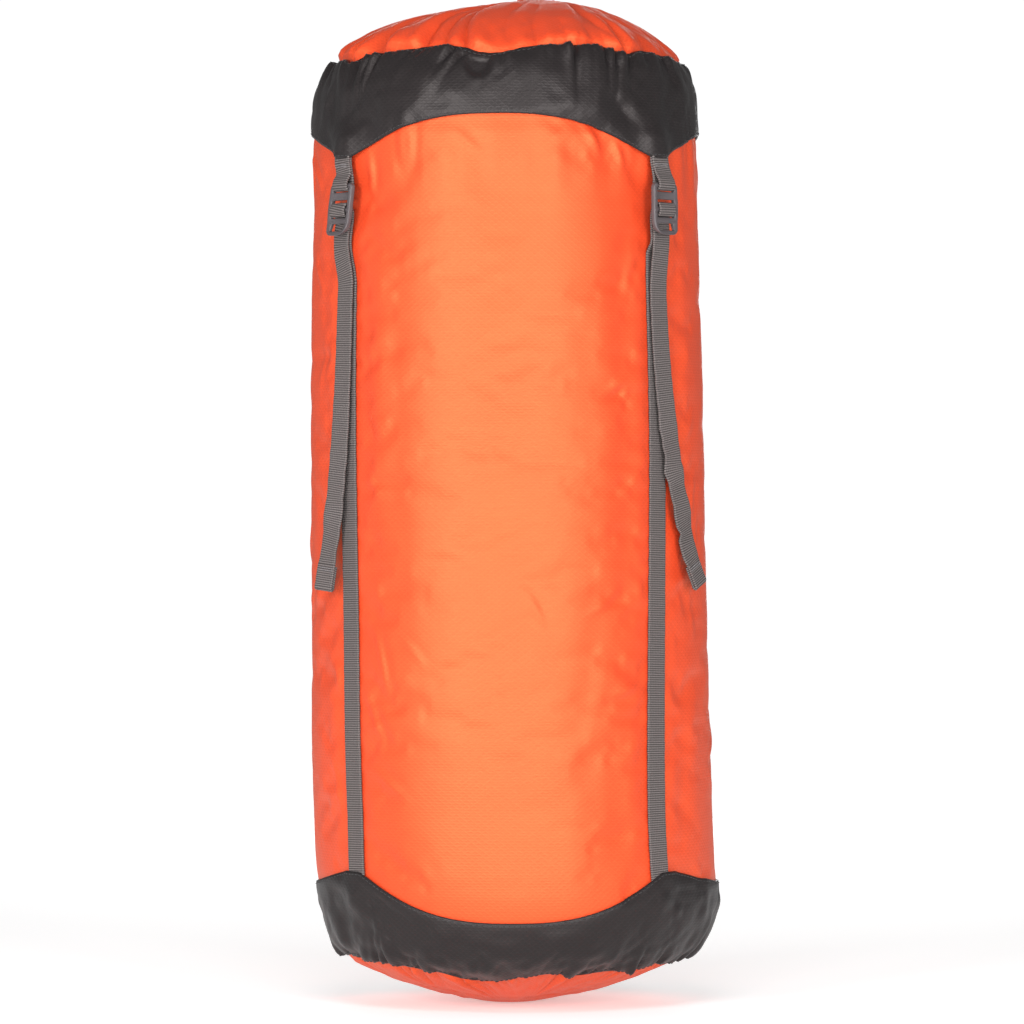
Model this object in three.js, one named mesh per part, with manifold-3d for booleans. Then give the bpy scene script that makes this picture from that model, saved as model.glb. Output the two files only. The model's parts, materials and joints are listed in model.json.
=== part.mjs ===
// A compression stuff sack, standing upright: a fabric tube with a drawcord mouth, a loose lid over the
// mouth, and four webbing straps that pull the lid down towards the base through ladder-lock buckles.
// Millimetres, +Z up, origin at the centre of the base on the ground, front of the sack towards -Y.
import * as THREE from "three";
import { mergeVertices } from "three/addons/utils/BufferGeometryUtils.js";
import Module from "manifold-3d";

const wasm = await Module();
wasm.setup();

// Driving dimensions
const HEIGHT = 620; // ground to the crown of the lid
const RADIUS = 123.2; // fullest part of the tube
const FABRIC = 1.6; // wall of every fabric shell
const GAP = 0.3; // clearance where two pieces meet
const SEGMENTS = 48; // facets round the sack

const SEAM_LOW_Z = 24; // seam of base panel and base band
const SEAM_LOW_R = 104;
const SEAM_HIGH_Z = 583; // seam of lid skirt and lid crown
const SEAM_HIGH_R = 104.5;
const BASE_FLAT_R = 46; // flat patch of the base panel on the ground
const LAYER = FABRIC + GAP; // depth that one fabric layer takes under another

const BAND_TIP_Z = 85; // points of the base band
const BAND_FRONT_Z = 58; // lowest place of its front and back scallops
const BAND_SIDE_Z = 74; // lowest place of its side scallops
const SKIRT_TIP_Z = 518; // points of the lid skirt
const SKIRT_FRONT_Z = 541; // highest place of its front and back scallops
const SKIRT_SIDE_Z = 536; // highest place of its side scallops
const SCALLOP_POWER = 2.7; // how square a scallop is

const STRAP_ANGLE = THREE.MathUtils.degToRad(51.5); // strap lines, measured from the front and the back
const WEB_WIDTH = 15;
const WEB = 1.5; // webbing thickness
const TAIL_LENGTH = 203; // loose webbing below each buckle, without its folded end
const TAIL_END = 16; // folded and stitched end
const TAIL_END_THICK = 3.2;

const BUCKLE_WIDTH = 23;
const BUCKLE_HEIGHT = 31.5;
const BUCKLE_THICK = 3.2;
const BUCKLE_TOP_Z = 502.5;
const SLOT_WIDTH = WEB_WIDTH + 1;
const BAR_TOP = 3.2; // ladder-lock bars and slots, from the top down
const SLOT_TAB = 4.2;
const BAR_UPPER = 3.6;
const SLOT_IN = 3.6;
const BAR_GRIP = 5;
const SLOT_OUT = 3.6;
const BAR_LOWER = 3.4;
const SLOT_RIM = 2;

const MOUTH_R = 36; // drawcord ring
const MOUTH_Z = 586;
const CHANNEL_R = 3.6; // outer radius of the fabric channel
const CHANNEL_BORE_R = 2.3;
const CORD_R = 1.5;
const CORD_SPACING = 3.4; // between the two cord runs at the cord lock
const CORD_Z = 584;
const LOCK_Y = -58;
const LOCK_R = 6.5;
const LOCK_FLOOR_Z = 574.9;
const LOCK_TOP_Z = 592;
const LOCK_TRAVEL = 3;
const CORD_END_Y = -76;

const COLOURS = {
  shell: [0xf0562a, 0.55, 0],
  trim: [0x3b3a3c, 0.7, 0],
  webbing: [0x6f6c70, 0.8, 0],
  plastic: [0x55535a, 0.45, 0],
  cord: [0x4a484c, 0.85, 0],
  steel: [0xb8bbc0, 0.3, 1],
};

const UP = new THREE.Vector3(0, 0, 1);
const ACROSS = new THREE.Vector3(0, 1, 0);
const OUTWARD = new THREE.Vector3(1, 0, 0);

// Outer fabric outlines, as radius and height, from the ground up
const baseOutline = [[0, 0], [BASE_FLAT_R, 0], [70, 5.5], [90, 14], [SEAM_LOW_R - FABRIC, SEAM_LOW_Z - LAYER]];
const bandOutline = [[SEAM_LOW_R, SEAM_LOW_Z], [112, 35], [118, 48], [121.4, 64], [RADIUS, BAND_TIP_Z]];
const skirtOutline = [
  [119.8, SKIRT_TIP_Z], [119.5, 534], [118.6, 549], [116.4, 562], [112, 573], [SEAM_HIGH_R, SEAM_HIGH_Z],
];
const crownOutline = [
  [SEAM_HIGH_R - FABRIC, SEAM_HIGH_Z + FABRIC], [94, 592.5], [78, 603], [56, 611.8], [28, 618], [0, HEIGHT],
];
const tubeOutline = [
  [SEAM_LOW_R - LAYER, SEAM_LOW_Z + 1.2], [112 - LAYER, 35.6], [118 - LAYER, 48.4], [121.4 - LAYER, 64],
  [RADIUS - LAYER, BAND_TIP_Z], [RADIUS, 120], [RADIUS - 0.2, 260], [121.8, 380], [118.7, 468],
  [117.4, 505], [117.4 - GAP, 534], [116 - GAP, 549], [111, 560], [96, 568], [66, 571.5], [44, 573],
  [MOUTH_R, MOUTH_Z - CHANNEL_R - 2 * GAP],
];

function vectors(outline) {
  return outline.map(([r, z]) => new THREE.Vector2(r, z));
}

// Points beside an open line, at a distance to its left
function beside(points, distance) {
  return points.map((point, i) => {
    const before = points[Math.max(i - 1, 0)];
    const after = points[Math.min(i + 1, points.length - 1)];
    const along = after.clone().sub(before).normalize();
    return new THREE.Vector2(point.x - along.y * distance, point.y + along.x * distance);
  });
}

// Closed outline of a band of one thickness that runs along a line, on its left
function bandAlong(points, thickness, start = 0) {
  const near = start === 0 ? points : beside(points, start);
  return [...near, ...beside(points, start + thickness).reverse()];
}

// A line's height range, cut out of an outline with the ends worked out between its points
function stretch(outline, low, high) {
  const points = vectors(outline);
  const at = (z) => {
    const i = points.findIndex((point, k) => k > 0 && point.y >= z);
    const share = (z - points[i - 1].y) / (points[i].y - points[i - 1].y);
    return points[i - 1].clone().lerp(points[i], share);
  };
  return [at(low), ...points.filter((point) => point.y > low && point.y < high), at(high)];
}

function solid(geometry) {
  const plain = geometry.clone();
  plain.deleteAttribute("normal");
  plain.deleteAttribute("uv");
  const merged = mergeVertices(plain, 1e-4);
  return new wasm.Manifold(new wasm.Mesh({
    numProp: 3,
    vertProperties: Float32Array.from(merged.attributes.position.array),
    triVerts: Uint32Array.from(merged.index.array),
  }));
}

function geometryOf(manifold) {
  const { vertProperties, triVerts } = manifold.getMesh();
  const geometry = new THREE.BufferGeometry();
  geometry.setAttribute("position", new THREE.BufferAttribute(vertProperties, 3));
  geometry.setIndex(new THREE.BufferAttribute(triVerts, 1));
  return geometry;
}

// A closed outline of radius and height, turned about Z
function turned(points, segments = SEGMENTS) {
  return new THREE.LatheGeometry(points, segments).rotateX(Math.PI / 2);
}

// A fabric shell whose outer face is the outline, drawn upwards, and whose wall is inside it.
// Its closed profile starts and ends on the axis where the outline does, and on its lower rim otherwise.
function fabricShell(outline) {
  const outer = vectors(outline);
  const inner = beside(outer, FABRIC).reverse();
  for (const point of inner) {
    point.x = point.x < FABRIC ? 0 : point.x;
  }
  if (outer.at(-1).x === 0) {
    return turned([...inner, ...outer]);
  }
  if (outer[0].x === 0) {
    return turned([...outer, ...inner]);
  }
  return turned([...outer, ...inner, outer[0].clone()]);
}

// An outline of radius and height, as wide as the webbing, centred on the strap line
function acrossStrap(points, width = WEB_WIDTH) {
  const geometry = new THREE.ExtrudeGeometry(new THREE.Shape(points), { depth: width, bevelEnabled: false });
  return geometry.rotateX(Math.PI / 2).translate(0, width / 2, 0);
}

// The region beyond a scalloped edge: a flat outline in X and Z, pushed through the sack along Y
function scallopCutter(halfWidth, tipZ, middleZ, farZ, depth) {
  const steps = 16;
  const edge = [];
  for (let i = 0; i <= steps; i += 1) {
    const across = (2 * i) / steps - 1;
    const drop = Math.abs(across) ** SCALLOP_POWER;
    edge.push(new THREE.Vector2(across * halfWidth, middleZ + (tipZ - middleZ) * drop));
  }
  edge.push(new THREE.Vector2(halfWidth, farZ), new THREE.Vector2(-halfWidth, farZ));
  const geometry = new THREE.ExtrudeGeometry(new THREE.Shape(edge), { depth, bevelEnabled: false });
  return geometry.rotateX(Math.PI / 2).translate(0, depth / 2, 0);
}

// A ring with scallops in front, behind and at both sides, and a flat tip on each strap line
function scalloped(shell, tipRadius, tipZ, frontZ, sideZ, farZ) {
  const through = 3 * RADIUS;
  const tip = WEB_WIDTH / 2;
  const frontHalf = tipRadius * Math.sin(STRAP_ANGLE) - tip * Math.cos(STRAP_ANGLE);
  const sideHalf = tipRadius * Math.cos(STRAP_ANGLE) - tip * Math.sin(STRAP_ANGLE);
  const front = solid(scallopCutter(frontHalf, tipZ, frontZ, farZ, through));
  const side = solid(scallopCutter(sideHalf, tipZ, sideZ, farZ, through).rotateZ(Math.PI / 2));
  return geometryOf(solid(shell).subtract(front).subtract(side));
}

function mesh(name, geometry, finish) {
  const [color, roughness, metalness] = COLOURS[finish];
  const piece = new THREE.Mesh(geometry, new THREE.MeshStandardMaterial({ color, roughness, metalness }));
  piece.name = name;
  return piece;
}

function tubeRadius(z) {
  return stretch(tubeOutline, 30, z).at(-1).x;
}

// Radial places of the layers at the buckle, outward from the tube
const STANDING_R = tubeRadius(BUCKLE_TOP_Z - BUCKLE_HEIGHT) + 2 * GAP;
const TAIL_R = STANDING_R + WEB + GAP;
const BUCKLE_R = TAIL_R + WEB + GAP;
const FRONT_R = BUCKLE_R + BUCKLE_THICK + GAP;
const WRAP_LOW_Z = BUCKLE_TOP_Z - BUCKLE_HEIGHT + 2;
const TAIL_TOP_Z = WRAP_LOW_Z - 1.3; // leaves room for the tail's sideways turn

function standingStrap() {
  const line = stretch(tubeOutline, BAND_TIP_Z + GAP, WRAP_LOW_Z - GAP);
  line[0].x = RADIUS;
  return acrossStrap(bandAlong(line, -WEB, -2 * GAP));
}

function strapTail() {
  const line = stretch(tubeOutline, TAIL_TOP_Z - TAIL_LENGTH, TAIL_TOP_Z);
  return acrossStrap(bandAlong(line, -WEB, -(TAIL_R - STANDING_R + 2 * GAP)));
}

function strapTailEnd() {
  const high = TAIL_TOP_Z - TAIL_LENGTH - GAP;
  const line = stretch(tubeOutline, high - TAIL_END, high);
  return acrossStrap(bandAlong(line, -TAIL_END_THICK, -(TAIL_R - STANDING_R + 2 * GAP)));
}

// Webbing that comes up behind the ladder lock, over its grip bar and back down behind its lower bars
function strapWrap() {
  const slotInZ = BUCKLE_TOP_Z - BAR_TOP - SLOT_TAB - BAR_UPPER - SLOT_IN / 2;
  const slotOutZ = slotInZ - SLOT_IN / 2 - BAR_GRIP - SLOT_OUT / 2;
  const half = WEB / 2;
  const outline = [
    [STANDING_R, WRAP_LOW_Z], [STANDING_R + WEB, WRAP_LOW_Z], [STANDING_R + WEB, slotInZ - half - 1],
    [STANDING_R + WEB + 1, slotInZ - half], [FRONT_R, slotInZ - half], [FRONT_R, slotOutZ + half],
    [TAIL_R + 1, slotOutZ + half], [TAIL_R, slotOutZ + half - 1], [TAIL_R, WRAP_LOW_Z],
    [TAIL_R + WEB, WRAP_LOW_Z], [TAIL_R + WEB, slotOutZ - half], [FRONT_R + half, slotOutZ - half],
    [FRONT_R + WEB, slotOutZ], [FRONT_R + WEB, slotInZ], [FRONT_R + half, slotInZ + half],
    [STANDING_R + 1, slotInZ + half], [STANDING_R, slotInZ - half],
  ];
  return acrossStrap(vectors(outline));
}

// Doubled webbing that hangs from the point of the skirt and loops round the ladder lock's top bar
function lidTab() {
  const topZ = SKIRT_TIP_Z - GAP;
  const back = BUCKLE_R - GAP - WEB;
  const axisR = BUCKLE_R + BUCKLE_THICK / 2;
  const axisZ = BUCKLE_TOP_Z - BAR_TOP / 2;
  const joinZ = BUCKLE_TOP_Z + 5;
  const underBar = (radius) => vectors([0, 1, 2, 3, 4, 5, 6].map((step) => {
    const angle = (Math.PI * step) / 6;
    return [axisR - radius * Math.cos(angle), axisZ - radius * Math.sin(angle)];
  }));
  const inside = underBar(axisR - back - WEB);
  const outside = underBar(axisR - back).reverse();
  return acrossStrap([
    ...vectors([[back - 1, topZ], [back + WEB - 1 + GAP, topZ - 2], [back + WEB, joinZ]]),
    ...inside,
    ...vectors([
      [FRONT_R, BUCKLE_TOP_Z + GAP], [back + WEB + GAP, joinZ], [back + WEB - 1 + 2 * GAP, topZ],
      [back + WEB + 1, topZ], [FRONT_R + WEB, BUCKLE_TOP_Z + 2],
    ]),
    ...outside,
    new THREE.Vector2(back, joinZ),
  ]);
}

// Flat frame of bars and slots, whose top bar is a round pin that the lid tab's loop turns on
function ladderLock() {
  const half = BUCKLE_WIDTH / 2;
  const shape = new THREE.Shape();
  shape.moveTo(-half + 3, 0);
  shape.lineTo(half - 3, 0);
  shape.quadraticCurveTo(half, 0, half, -4);
  shape.lineTo(half, -BUCKLE_HEIGHT + 8);
  shape.quadraticCurveTo(half - 1, -BUCKLE_HEIGHT, 4, -BUCKLE_HEIGHT);
  shape.lineTo(-4, -BUCKLE_HEIGHT);
  shape.quadraticCurveTo(-half + 1, -BUCKLE_HEIGHT, -half, -BUCKLE_HEIGHT + 8);
  shape.lineTo(-half, -4);
  shape.quadraticCurveTo(-half, 0, -half + 3, 0);
  const options = { depth: BUCKLE_THICK, bevelEnabled: false, curveSegments: 4 };
  let frame = solid(new THREE.ExtrudeGeometry(shape, options));
  let top = 0;
  for (const [slot, bar, reach] of [
    [BAR_TOP + SLOT_TAB, BAR_UPPER, SLOT_WIDTH], [SLOT_IN, BAR_GRIP, SLOT_WIDTH],
    [SLOT_OUT, BAR_LOWER, SLOT_WIDTH], [SLOT_RIM, 0, SLOT_WIDTH / 2],
  ]) {
    const high = top === 0 ? BAR_TOP : 0;
    const cut = new THREE.BoxGeometry(reach, slot + high, 3 * BUCKLE_THICK);
    frame = frame.subtract(solid(cut.translate(0, top + high - (slot + high) / 2, 0)));
    top -= slot + bar;
  }
  const pin = new THREE.CylinderGeometry(BAR_TOP / 2, BAR_TOP / 2, SLOT_WIDTH + 2 * GAP, 24);
  pin.rotateZ(Math.PI / 2).translate(0, -BAR_TOP / 2, BUCKLE_THICK / 2);
  frame = frame.add(solid(pin));
  const turn = new THREE.Matrix4().makeBasis(ACROSS, UP, OUTWARD);
  return geometryOf(frame).applyMatrix4(turn).translate(BUCKLE_R, 0, BUCKLE_TOP_Z);
}

// Ring that the drawcord runs in, with a slot in front where both cord ends leave it
function drawcordChannel() {
  const ring = (radius) => solid(new THREE.TorusGeometry(MOUTH_R, radius, 10, SEGMENTS));
  const slot = new THREE.BoxGeometry(6 * CORD_SPACING, 2 * CHANNEL_R, 2 * CHANNEL_R);
  slot.translate(0, -MOUTH_R - CHANNEL_R, 0);
  const channel = ring(CHANNEL_R).subtract(ring(CHANNEL_BORE_R)).subtract(solid(slot));
  return geometryOf(channel).translate(0, 0, MOUTH_Z);
}

// One length of cord: out of the cord end, once round the channel, and back to the cord end
function drawcord() {
  const side = CORD_SPACING / 2;
  const openAngle = 0.17;
  const turns = 40;
  const outside = [[side, CORD_END_Y + GAP, CORD_Z], [side, LOCK_Y, CORD_Z], [side, -46, CORD_Z + 0.6]];
  const points = outside.map(([x, y, z]) => new THREE.Vector3(x, y, z));
  for (let i = 0; i <= turns; i += 1) {
    const angle = -Math.PI / 2 + openAngle + ((2 * Math.PI - 2 * openAngle) * i) / turns;
    points.push(new THREE.Vector3(MOUTH_R * Math.cos(angle), MOUTH_R * Math.sin(angle), MOUTH_Z));
  }
  points.push(...outside.reverse().map(([x, y, z]) => new THREE.Vector3(-x, y, z)));
  const section = new THREE.Shape().absarc(0, 0, CORD_R, 0, 2 * Math.PI);
  return new THREE.ExtrudeGeometry(section, {
    steps: 72, curveSegments: 4, bevelEnabled: false, extrudePath: new THREE.CatmullRomCurve3(points),
  });
}

// Bell that both ends of the cord are knotted into
function cordEnd() {
  const profile = vectors([[0, 0], [4.2, 0], [4.6, 2], [3.8, 10], [2.4, 12.5], [0, 12.5]]);
  const bell = new THREE.LatheGeometry(profile, 16).rotateZ(Math.PI);
  return bell.translate(0, CORD_END_Y, CORD_Z);
}

function cordHole(lowZ, highZ) {
  const hole = new THREE.BoxGeometry(CORD_SPACING + 2 * CORD_R + 2 * GAP, 4 * LOCK_R, highZ - lowZ);
  return solid(hole.translate(0, 0, (lowZ + highZ) / 2));
}

// Cord lock: a cup with a spring in it, and a button that squeezes the cords against the cup
const LOCK_WALL = 1.3;
const BUTTON_R = LOCK_R - LOCK_WALL - GAP;
const BUTTON_LOW_Z = CORD_Z - CORD_R - LOCK_TRAVEL;

function lockCup() {
  const bore = LOCK_R - LOCK_WALL;
  const floor = LOCK_FLOOR_Z + LOCK_WALL;
  const profile = vectors([
    [0, LOCK_FLOOR_Z], [LOCK_R - 1, LOCK_FLOOR_Z], [LOCK_R, LOCK_FLOOR_Z + 1], [LOCK_R, LOCK_TOP_Z - 0.6],
    [LOCK_R - 0.6, LOCK_TOP_Z], [bore, LOCK_TOP_Z], [bore, floor], [0, floor],
  ]);
  const hole = cordHole(CORD_Z - CORD_R - GAP, CORD_Z + CORD_R + GAP);
  return geometryOf(solid(turned(profile, 24)).subtract(hole)).translate(0, LOCK_Y, 0);
}

function lockButton() {
  const topZ = LOCK_TOP_Z + LOCK_TRAVEL + 1;
  const profile = vectors([
    [0, BUTTON_LOW_Z], [BUTTON_R, BUTTON_LOW_Z], [BUTTON_R, topZ - 1], [BUTTON_R - 1, topZ], [0, topZ],
  ]);
  const hole = cordHole(CORD_Z - CORD_R - GAP, CORD_Z + CORD_R + LOCK_TRAVEL + GAP);
  return geometryOf(solid(turned(profile, 24)).subtract(hole)).translate(0, LOCK_Y, 0);
}

function lockSpring() {
  const wire = 0.35;
  const coils = 2.5;
  const coilR = 3.2;
  const lowZ = LOCK_FLOOR_Z + LOCK_WALL + wire + GAP;
  const highZ = BUTTON_LOW_Z - wire - GAP;
  const steps = 36;
  const points = [];
  for (let i = 0; i <= steps; i += 1) {
    const angle = (2 * Math.PI * coils * i) / steps;
    const z = lowZ + ((highZ - lowZ) * i) / steps;
    points.push(new THREE.Vector3(coilR * Math.cos(angle), LOCK_Y + coilR * Math.sin(angle), z));
  }
  const section = new THREE.Shape().absarc(0, 0, wire, 0, 2 * Math.PI);
  return new THREE.ExtrudeGeometry(section, {
    steps, curveSegments: 3, bevelEnabled: false, extrudePath: new THREE.CatmullRomCurve3(points),
  });
}

// A piece turned about the radial line through the top of the tail, as loose webbing drifts sideways
function drifted(piece, drift) {
  const pivot = new THREE.Group();
  pivot.position.set(0, 0, WRAP_LOW_Z);
  pivot.rotation.x = drift;
  piece.position.z = -WRAP_LOW_Z;
  pivot.add(piece);
  return pivot;
}

// Strap lines, as angle about Z and sideways drift of the loose tail
const STATIONS = {
  front_left: [-Math.PI / 2 - STRAP_ANGLE, -4],
  front_right: [-Math.PI / 2 + STRAP_ANGLE, 7],
  back_right: [Math.PI / 2 - STRAP_ANGLE, -4],
  back_left: [Math.PI / 2 + STRAP_ANGLE, 5],
};

function strapStation(side, angle, driftDegrees) {
  const station = new THREE.Group();
  const drift = THREE.MathUtils.degToRad(driftDegrees);
  station.rotation.z = angle;
  station.add(
    mesh(`strap_${side}`, standingStrap(), "webbing"),
    mesh(`lid_tab_${side}`, lidTab(), "webbing"),
    mesh(`ladder_lock_${side}`, ladderLock(), "plastic"),
    mesh(`strap_wrap_${side}`, strapWrap(), "webbing"),
    drifted(mesh(`strap_tail_${side}`, strapTail(), "webbing"), drift),
    drifted(mesh(`strap_end_${side}`, strapTailEnd(), "webbing"), drift),
  );
  return station;
}

const sack = new THREE.Group();
sack.add(
  mesh("tube", fabricShell(tubeOutline), "shell"),
  mesh("base_panel", fabricShell(baseOutline), "shell"),
  mesh("base_band", scalloped(fabricShell(bandOutline), RADIUS, BAND_TIP_Z, BAND_FRONT_Z, BAND_SIDE_Z,
    BAND_TIP_Z + 20), "trim"),
  mesh("lid_skirt", scalloped(fabricShell(skirtOutline), 119.8, SKIRT_TIP_Z, SKIRT_FRONT_Z, SKIRT_SIDE_Z,
    SKIRT_TIP_Z - 20), "trim"),
  mesh("lid_crown", fabricShell(crownOutline), "shell"),
  mesh("drawcord_channel", drawcordChannel(), "trim"),
  mesh("drawcord", drawcord(), "cord"),
  mesh("cord_end", cordEnd(), "plastic"),
  mesh("cord_lock_cup", lockCup(), "plastic"),
  mesh("cord_lock_spring", lockSpring(), "steel"),
  mesh("cord_lock_button", lockButton(), "plastic"),
);
for (const [side, [angle, drift]] of Object.entries(STATIONS)) {
  sack.add(strapStation(side, angle, drift));
}

export default sack;
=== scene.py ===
# The stuff sack's looks: stuffed fabric, webbing, ladder locks, seams and drawcord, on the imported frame.
# Metres, +Z up, front of the sack towards -Y.
import json
import math

import bmesh
import bpy
import numpy as np
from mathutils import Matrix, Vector


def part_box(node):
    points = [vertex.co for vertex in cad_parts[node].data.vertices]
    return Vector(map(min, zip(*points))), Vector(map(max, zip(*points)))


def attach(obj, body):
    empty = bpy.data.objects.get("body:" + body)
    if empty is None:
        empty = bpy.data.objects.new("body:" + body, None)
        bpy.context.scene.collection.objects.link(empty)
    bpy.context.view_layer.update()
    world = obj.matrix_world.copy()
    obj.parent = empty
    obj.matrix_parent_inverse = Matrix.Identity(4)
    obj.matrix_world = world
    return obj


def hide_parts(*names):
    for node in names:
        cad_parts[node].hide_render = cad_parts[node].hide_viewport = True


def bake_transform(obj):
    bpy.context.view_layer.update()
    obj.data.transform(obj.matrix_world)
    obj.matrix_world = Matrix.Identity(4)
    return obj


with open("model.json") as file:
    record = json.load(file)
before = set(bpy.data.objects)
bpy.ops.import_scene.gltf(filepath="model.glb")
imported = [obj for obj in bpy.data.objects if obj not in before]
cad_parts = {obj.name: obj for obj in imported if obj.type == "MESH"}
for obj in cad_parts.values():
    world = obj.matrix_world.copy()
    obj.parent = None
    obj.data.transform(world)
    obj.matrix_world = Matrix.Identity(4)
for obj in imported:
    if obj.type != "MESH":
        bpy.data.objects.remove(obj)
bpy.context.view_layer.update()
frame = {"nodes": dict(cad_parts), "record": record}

MM = 0.001
TAU = 2 * math.pi
joints = {joint["name"]: joint for joint in frame["record"]["behaviour"]["joints"]}


def box_centre(node):
    low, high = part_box(node)
    return (low + high) / 2


# Sizes that the frame gives
SIDES = ["front_left", "front_right", "back_right", "back_left"]
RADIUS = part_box("tube")[1].x
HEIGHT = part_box("lid_crown")[1].z
SEAM_LOW_Z, BAND_TIP_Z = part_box("base_band")[0].z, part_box("base_band")[1].z
SKIRT_TIP_Z, SEAM_HIGH_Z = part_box("lid_skirt")[0].z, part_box("lid_skirt")[1].z
BUCKLE_LOW_Z, BUCKLE_TOP_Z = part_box("ladder_lock_front_left")[0].z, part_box("ladder_lock_front_left")[1].z
BUCKLE_HEIGHT = BUCKLE_TOP_Z - BUCKLE_LOW_Z
MOUTH_Z = box_centre("drawcord_channel").z
CHANNEL_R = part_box("drawcord_channel")[1].z - MOUTH_Z
MOUTH_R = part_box("drawcord_channel")[1].x - CHANNEL_R
PIN = Vector(joints["tilt_front_right"]["pos_m"])
STRAP_ANGLE = math.atan2(PIN.x, -PIN.y)
PIN_R = math.hypot(PIN.x, PIN.y)
LOCK_CENTRE = box_centre("cord_lock_cup")
LOCK_LOW_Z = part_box("cord_lock_cup")[0].z
CORD_Z = box_centre("cord_end").z

# Sizes of the cloth work
FABRIC = 1.1 * MM
LAYER = 2.3 * MM  # how far an outer fabric layer stands off the one under it
WEB_WIDTH = 15 * MM
WEB = 1.4 * MM  # webbing thickness
BUCKLE_THICK = 3.2 * MM
BUCKLE_WIDTH = WEB_WIDTH + 8 * MM
BUCKLE_BACK_R = PIN_R - BUCKLE_THICK / 2
BAND_FRONT_Z = BAND_TIP_Z - 28 * MM
BAND_SIDE_Z = BAND_TIP_Z - 10 * MM
SKIRT_FRONT_Z = SKIRT_TIP_Z + 24 * MM
SKIRT_SIDE_Z = SKIRT_TIP_Z + 18 * MM
CRUMPLE_TOP_Z = 0.55 * HEIGHT  # the tube shortens below this height when the sack is compressed
SCALLOP_POWER = 2.7  # how square the scallops are in front and behind, and then at the sides
SIDE_SCALLOP_POWER = 1.7
COLUMNS = 512  # points round each ring of cloth

# Outline of the stuffed sack, as shares of its radius and its height, from the ground up
OUTLINE = np.array([
    (0.0, 0.001), (0.12, 0.001), (0.24, 0.0055), (0.42, 0.0145), (0.56, 0.0225), (0.665, 0.0305),
    (0.75, 0.0385), (0.83, 0.048), (0.905, 0.0615), (0.955, 0.082), (0.978, 0.1), (0.99, 0.14),
    (0.994, 0.194), (0.985, 0.42), (0.978, 0.613), (0.963, 0.755), (0.953, 0.815), (0.952, 0.861),
    (0.945, 0.886), (0.927, 0.906), (0.891, 0.924), (0.832, 0.939), (0.755, 0.952), (0.625, 0.968),
    (0.43, 0.982), (0.2, 0.992), (0.0, 0.996),
]) * (RADIUS, HEIGHT)
# How far the stuffed sack leans to its right, as share of the height and distance
LEAN = np.array([
    (0, 1), (0.05, 4), (0.09, 6.5), (0.14, 4.5), (0.2, 3), (0.4, 0.8), (0.55, -0.4), (0.8, -1.2),
    (0.93, 0), (0.96, 3), (0.977, 7), (0.989, 16), (1, 20),
]) * (HEIGHT, MM)


def smooth_through(places, values, at):
    """Values at new places, on a smooth line through the given ones."""
    slopes = np.gradient(values, places)
    i = np.clip(np.searchsorted(places, at) - 1, 0, len(places) - 2)
    width = places[i + 1] - places[i]
    t = np.clip((at - places[i]) / width, 0, 1)
    start = (1 + 2 * t) * (1 - t) ** 2 * values[i] + t * (1 - t) ** 2 * width * slopes[i]
    return start + t**2 * (3 - 2 * t) * values[i + 1] + t**2 * (t - 1) * width * slopes[i + 1]


OUTLINE_S = np.concatenate([[0], np.cumsum(np.hypot(*np.diff(OUTLINE, axis=0).T))])
SKIN_LENGTH = OUTLINE_S[-1]
FINE_S = np.linspace(0, SKIN_LENGTH, 2000)
FINE_Z = np.maximum.accumulate(smooth_through(OUTLINE_S, OUTLINE[:, 1], FINE_S))


def s_at(z):
    """Distance along the outline at a height on the wall or on either rounded end."""
    return np.interp(z, FINE_Z, FINE_S)


def unit(vectors):
    length = np.linalg.norm(vectors, axis=-1, keepdims=True)
    return vectors / np.maximum(length, 1e-9)


def places_along(path):
    """Distance along a line at each of its points."""
    return np.concatenate([[0], np.cumsum(np.linalg.norm(np.diff(path, axis=0), axis=1))])


def step(value, low, high):
    """0 below low, 1 above high, smooth between."""
    t = np.clip((value - low) / (high - low), 0, 1)
    return t * t * (3 - 2 * t)


def bell(value, width):
    return np.exp(-((value / width) ** 2))


def turned(angle):
    """An angle brought between -180 and 180 degrees."""
    return (angle + math.pi) % TAU - math.pi


def from_front(angle, turn):
    """Distance round the sack from a line turned that far to the right of the front's middle."""
    return turned(angle + math.pi / 2 - turn) * RADIUS


def noise(angle, s, bumps_round, bump_height, seed):
    """Smooth noise from -1 to 1 over the skin, with that many bumps round it."""
    table = np.random.default_rng(seed).uniform(-1, 1, (bumps_round, 600))
    u = (angle / TAU % 1) * bumps_round
    v = s / bump_height + 2
    i, j = np.floor(u).astype(int), np.floor(v).astype(int)
    fu, fv = step(u - i, 0, 1), step(v - j, 0, 1)
    i, k = i % bumps_round, (i + 1) % bumps_round
    low = table[i, j] * (1 - fu) + table[k, j] * fu
    high = table[i, j + 1] * (1 - fu) + table[k, j + 1] * fu
    return low * (1 - fv) + high * fv


# Angle of each strap line round the sack
STATIONS = {
    "front_left": -math.pi / 2 - STRAP_ANGLE,
    "front_right": -math.pi / 2 + STRAP_ANGLE,
    "back_right": math.pi / 2 - STRAP_ANGLE,
    "back_left": math.pi / 2 + STRAP_ANGLE,
}


def strap_angle_at(side, z):
    """Where a strap's middle line runs: low down it wanders a little towards the front."""
    wander = {"front_left": 1.5, "front_right": -4, "back_right": -1, "back_left": 2}[side]
    return STATIONS[side] + math.radians(wander) * (1 - step(z, BAND_TIP_Z, 0.6 * HEIGHT))


def strap_distance(angle, z):
    """Distance round the sack to the nearest strap line."""
    distances = [np.abs(turned(angle - strap_angle_at(side, z))) for side in SIDES]
    return np.min(distances, axis=0) * RADIUS


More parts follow.
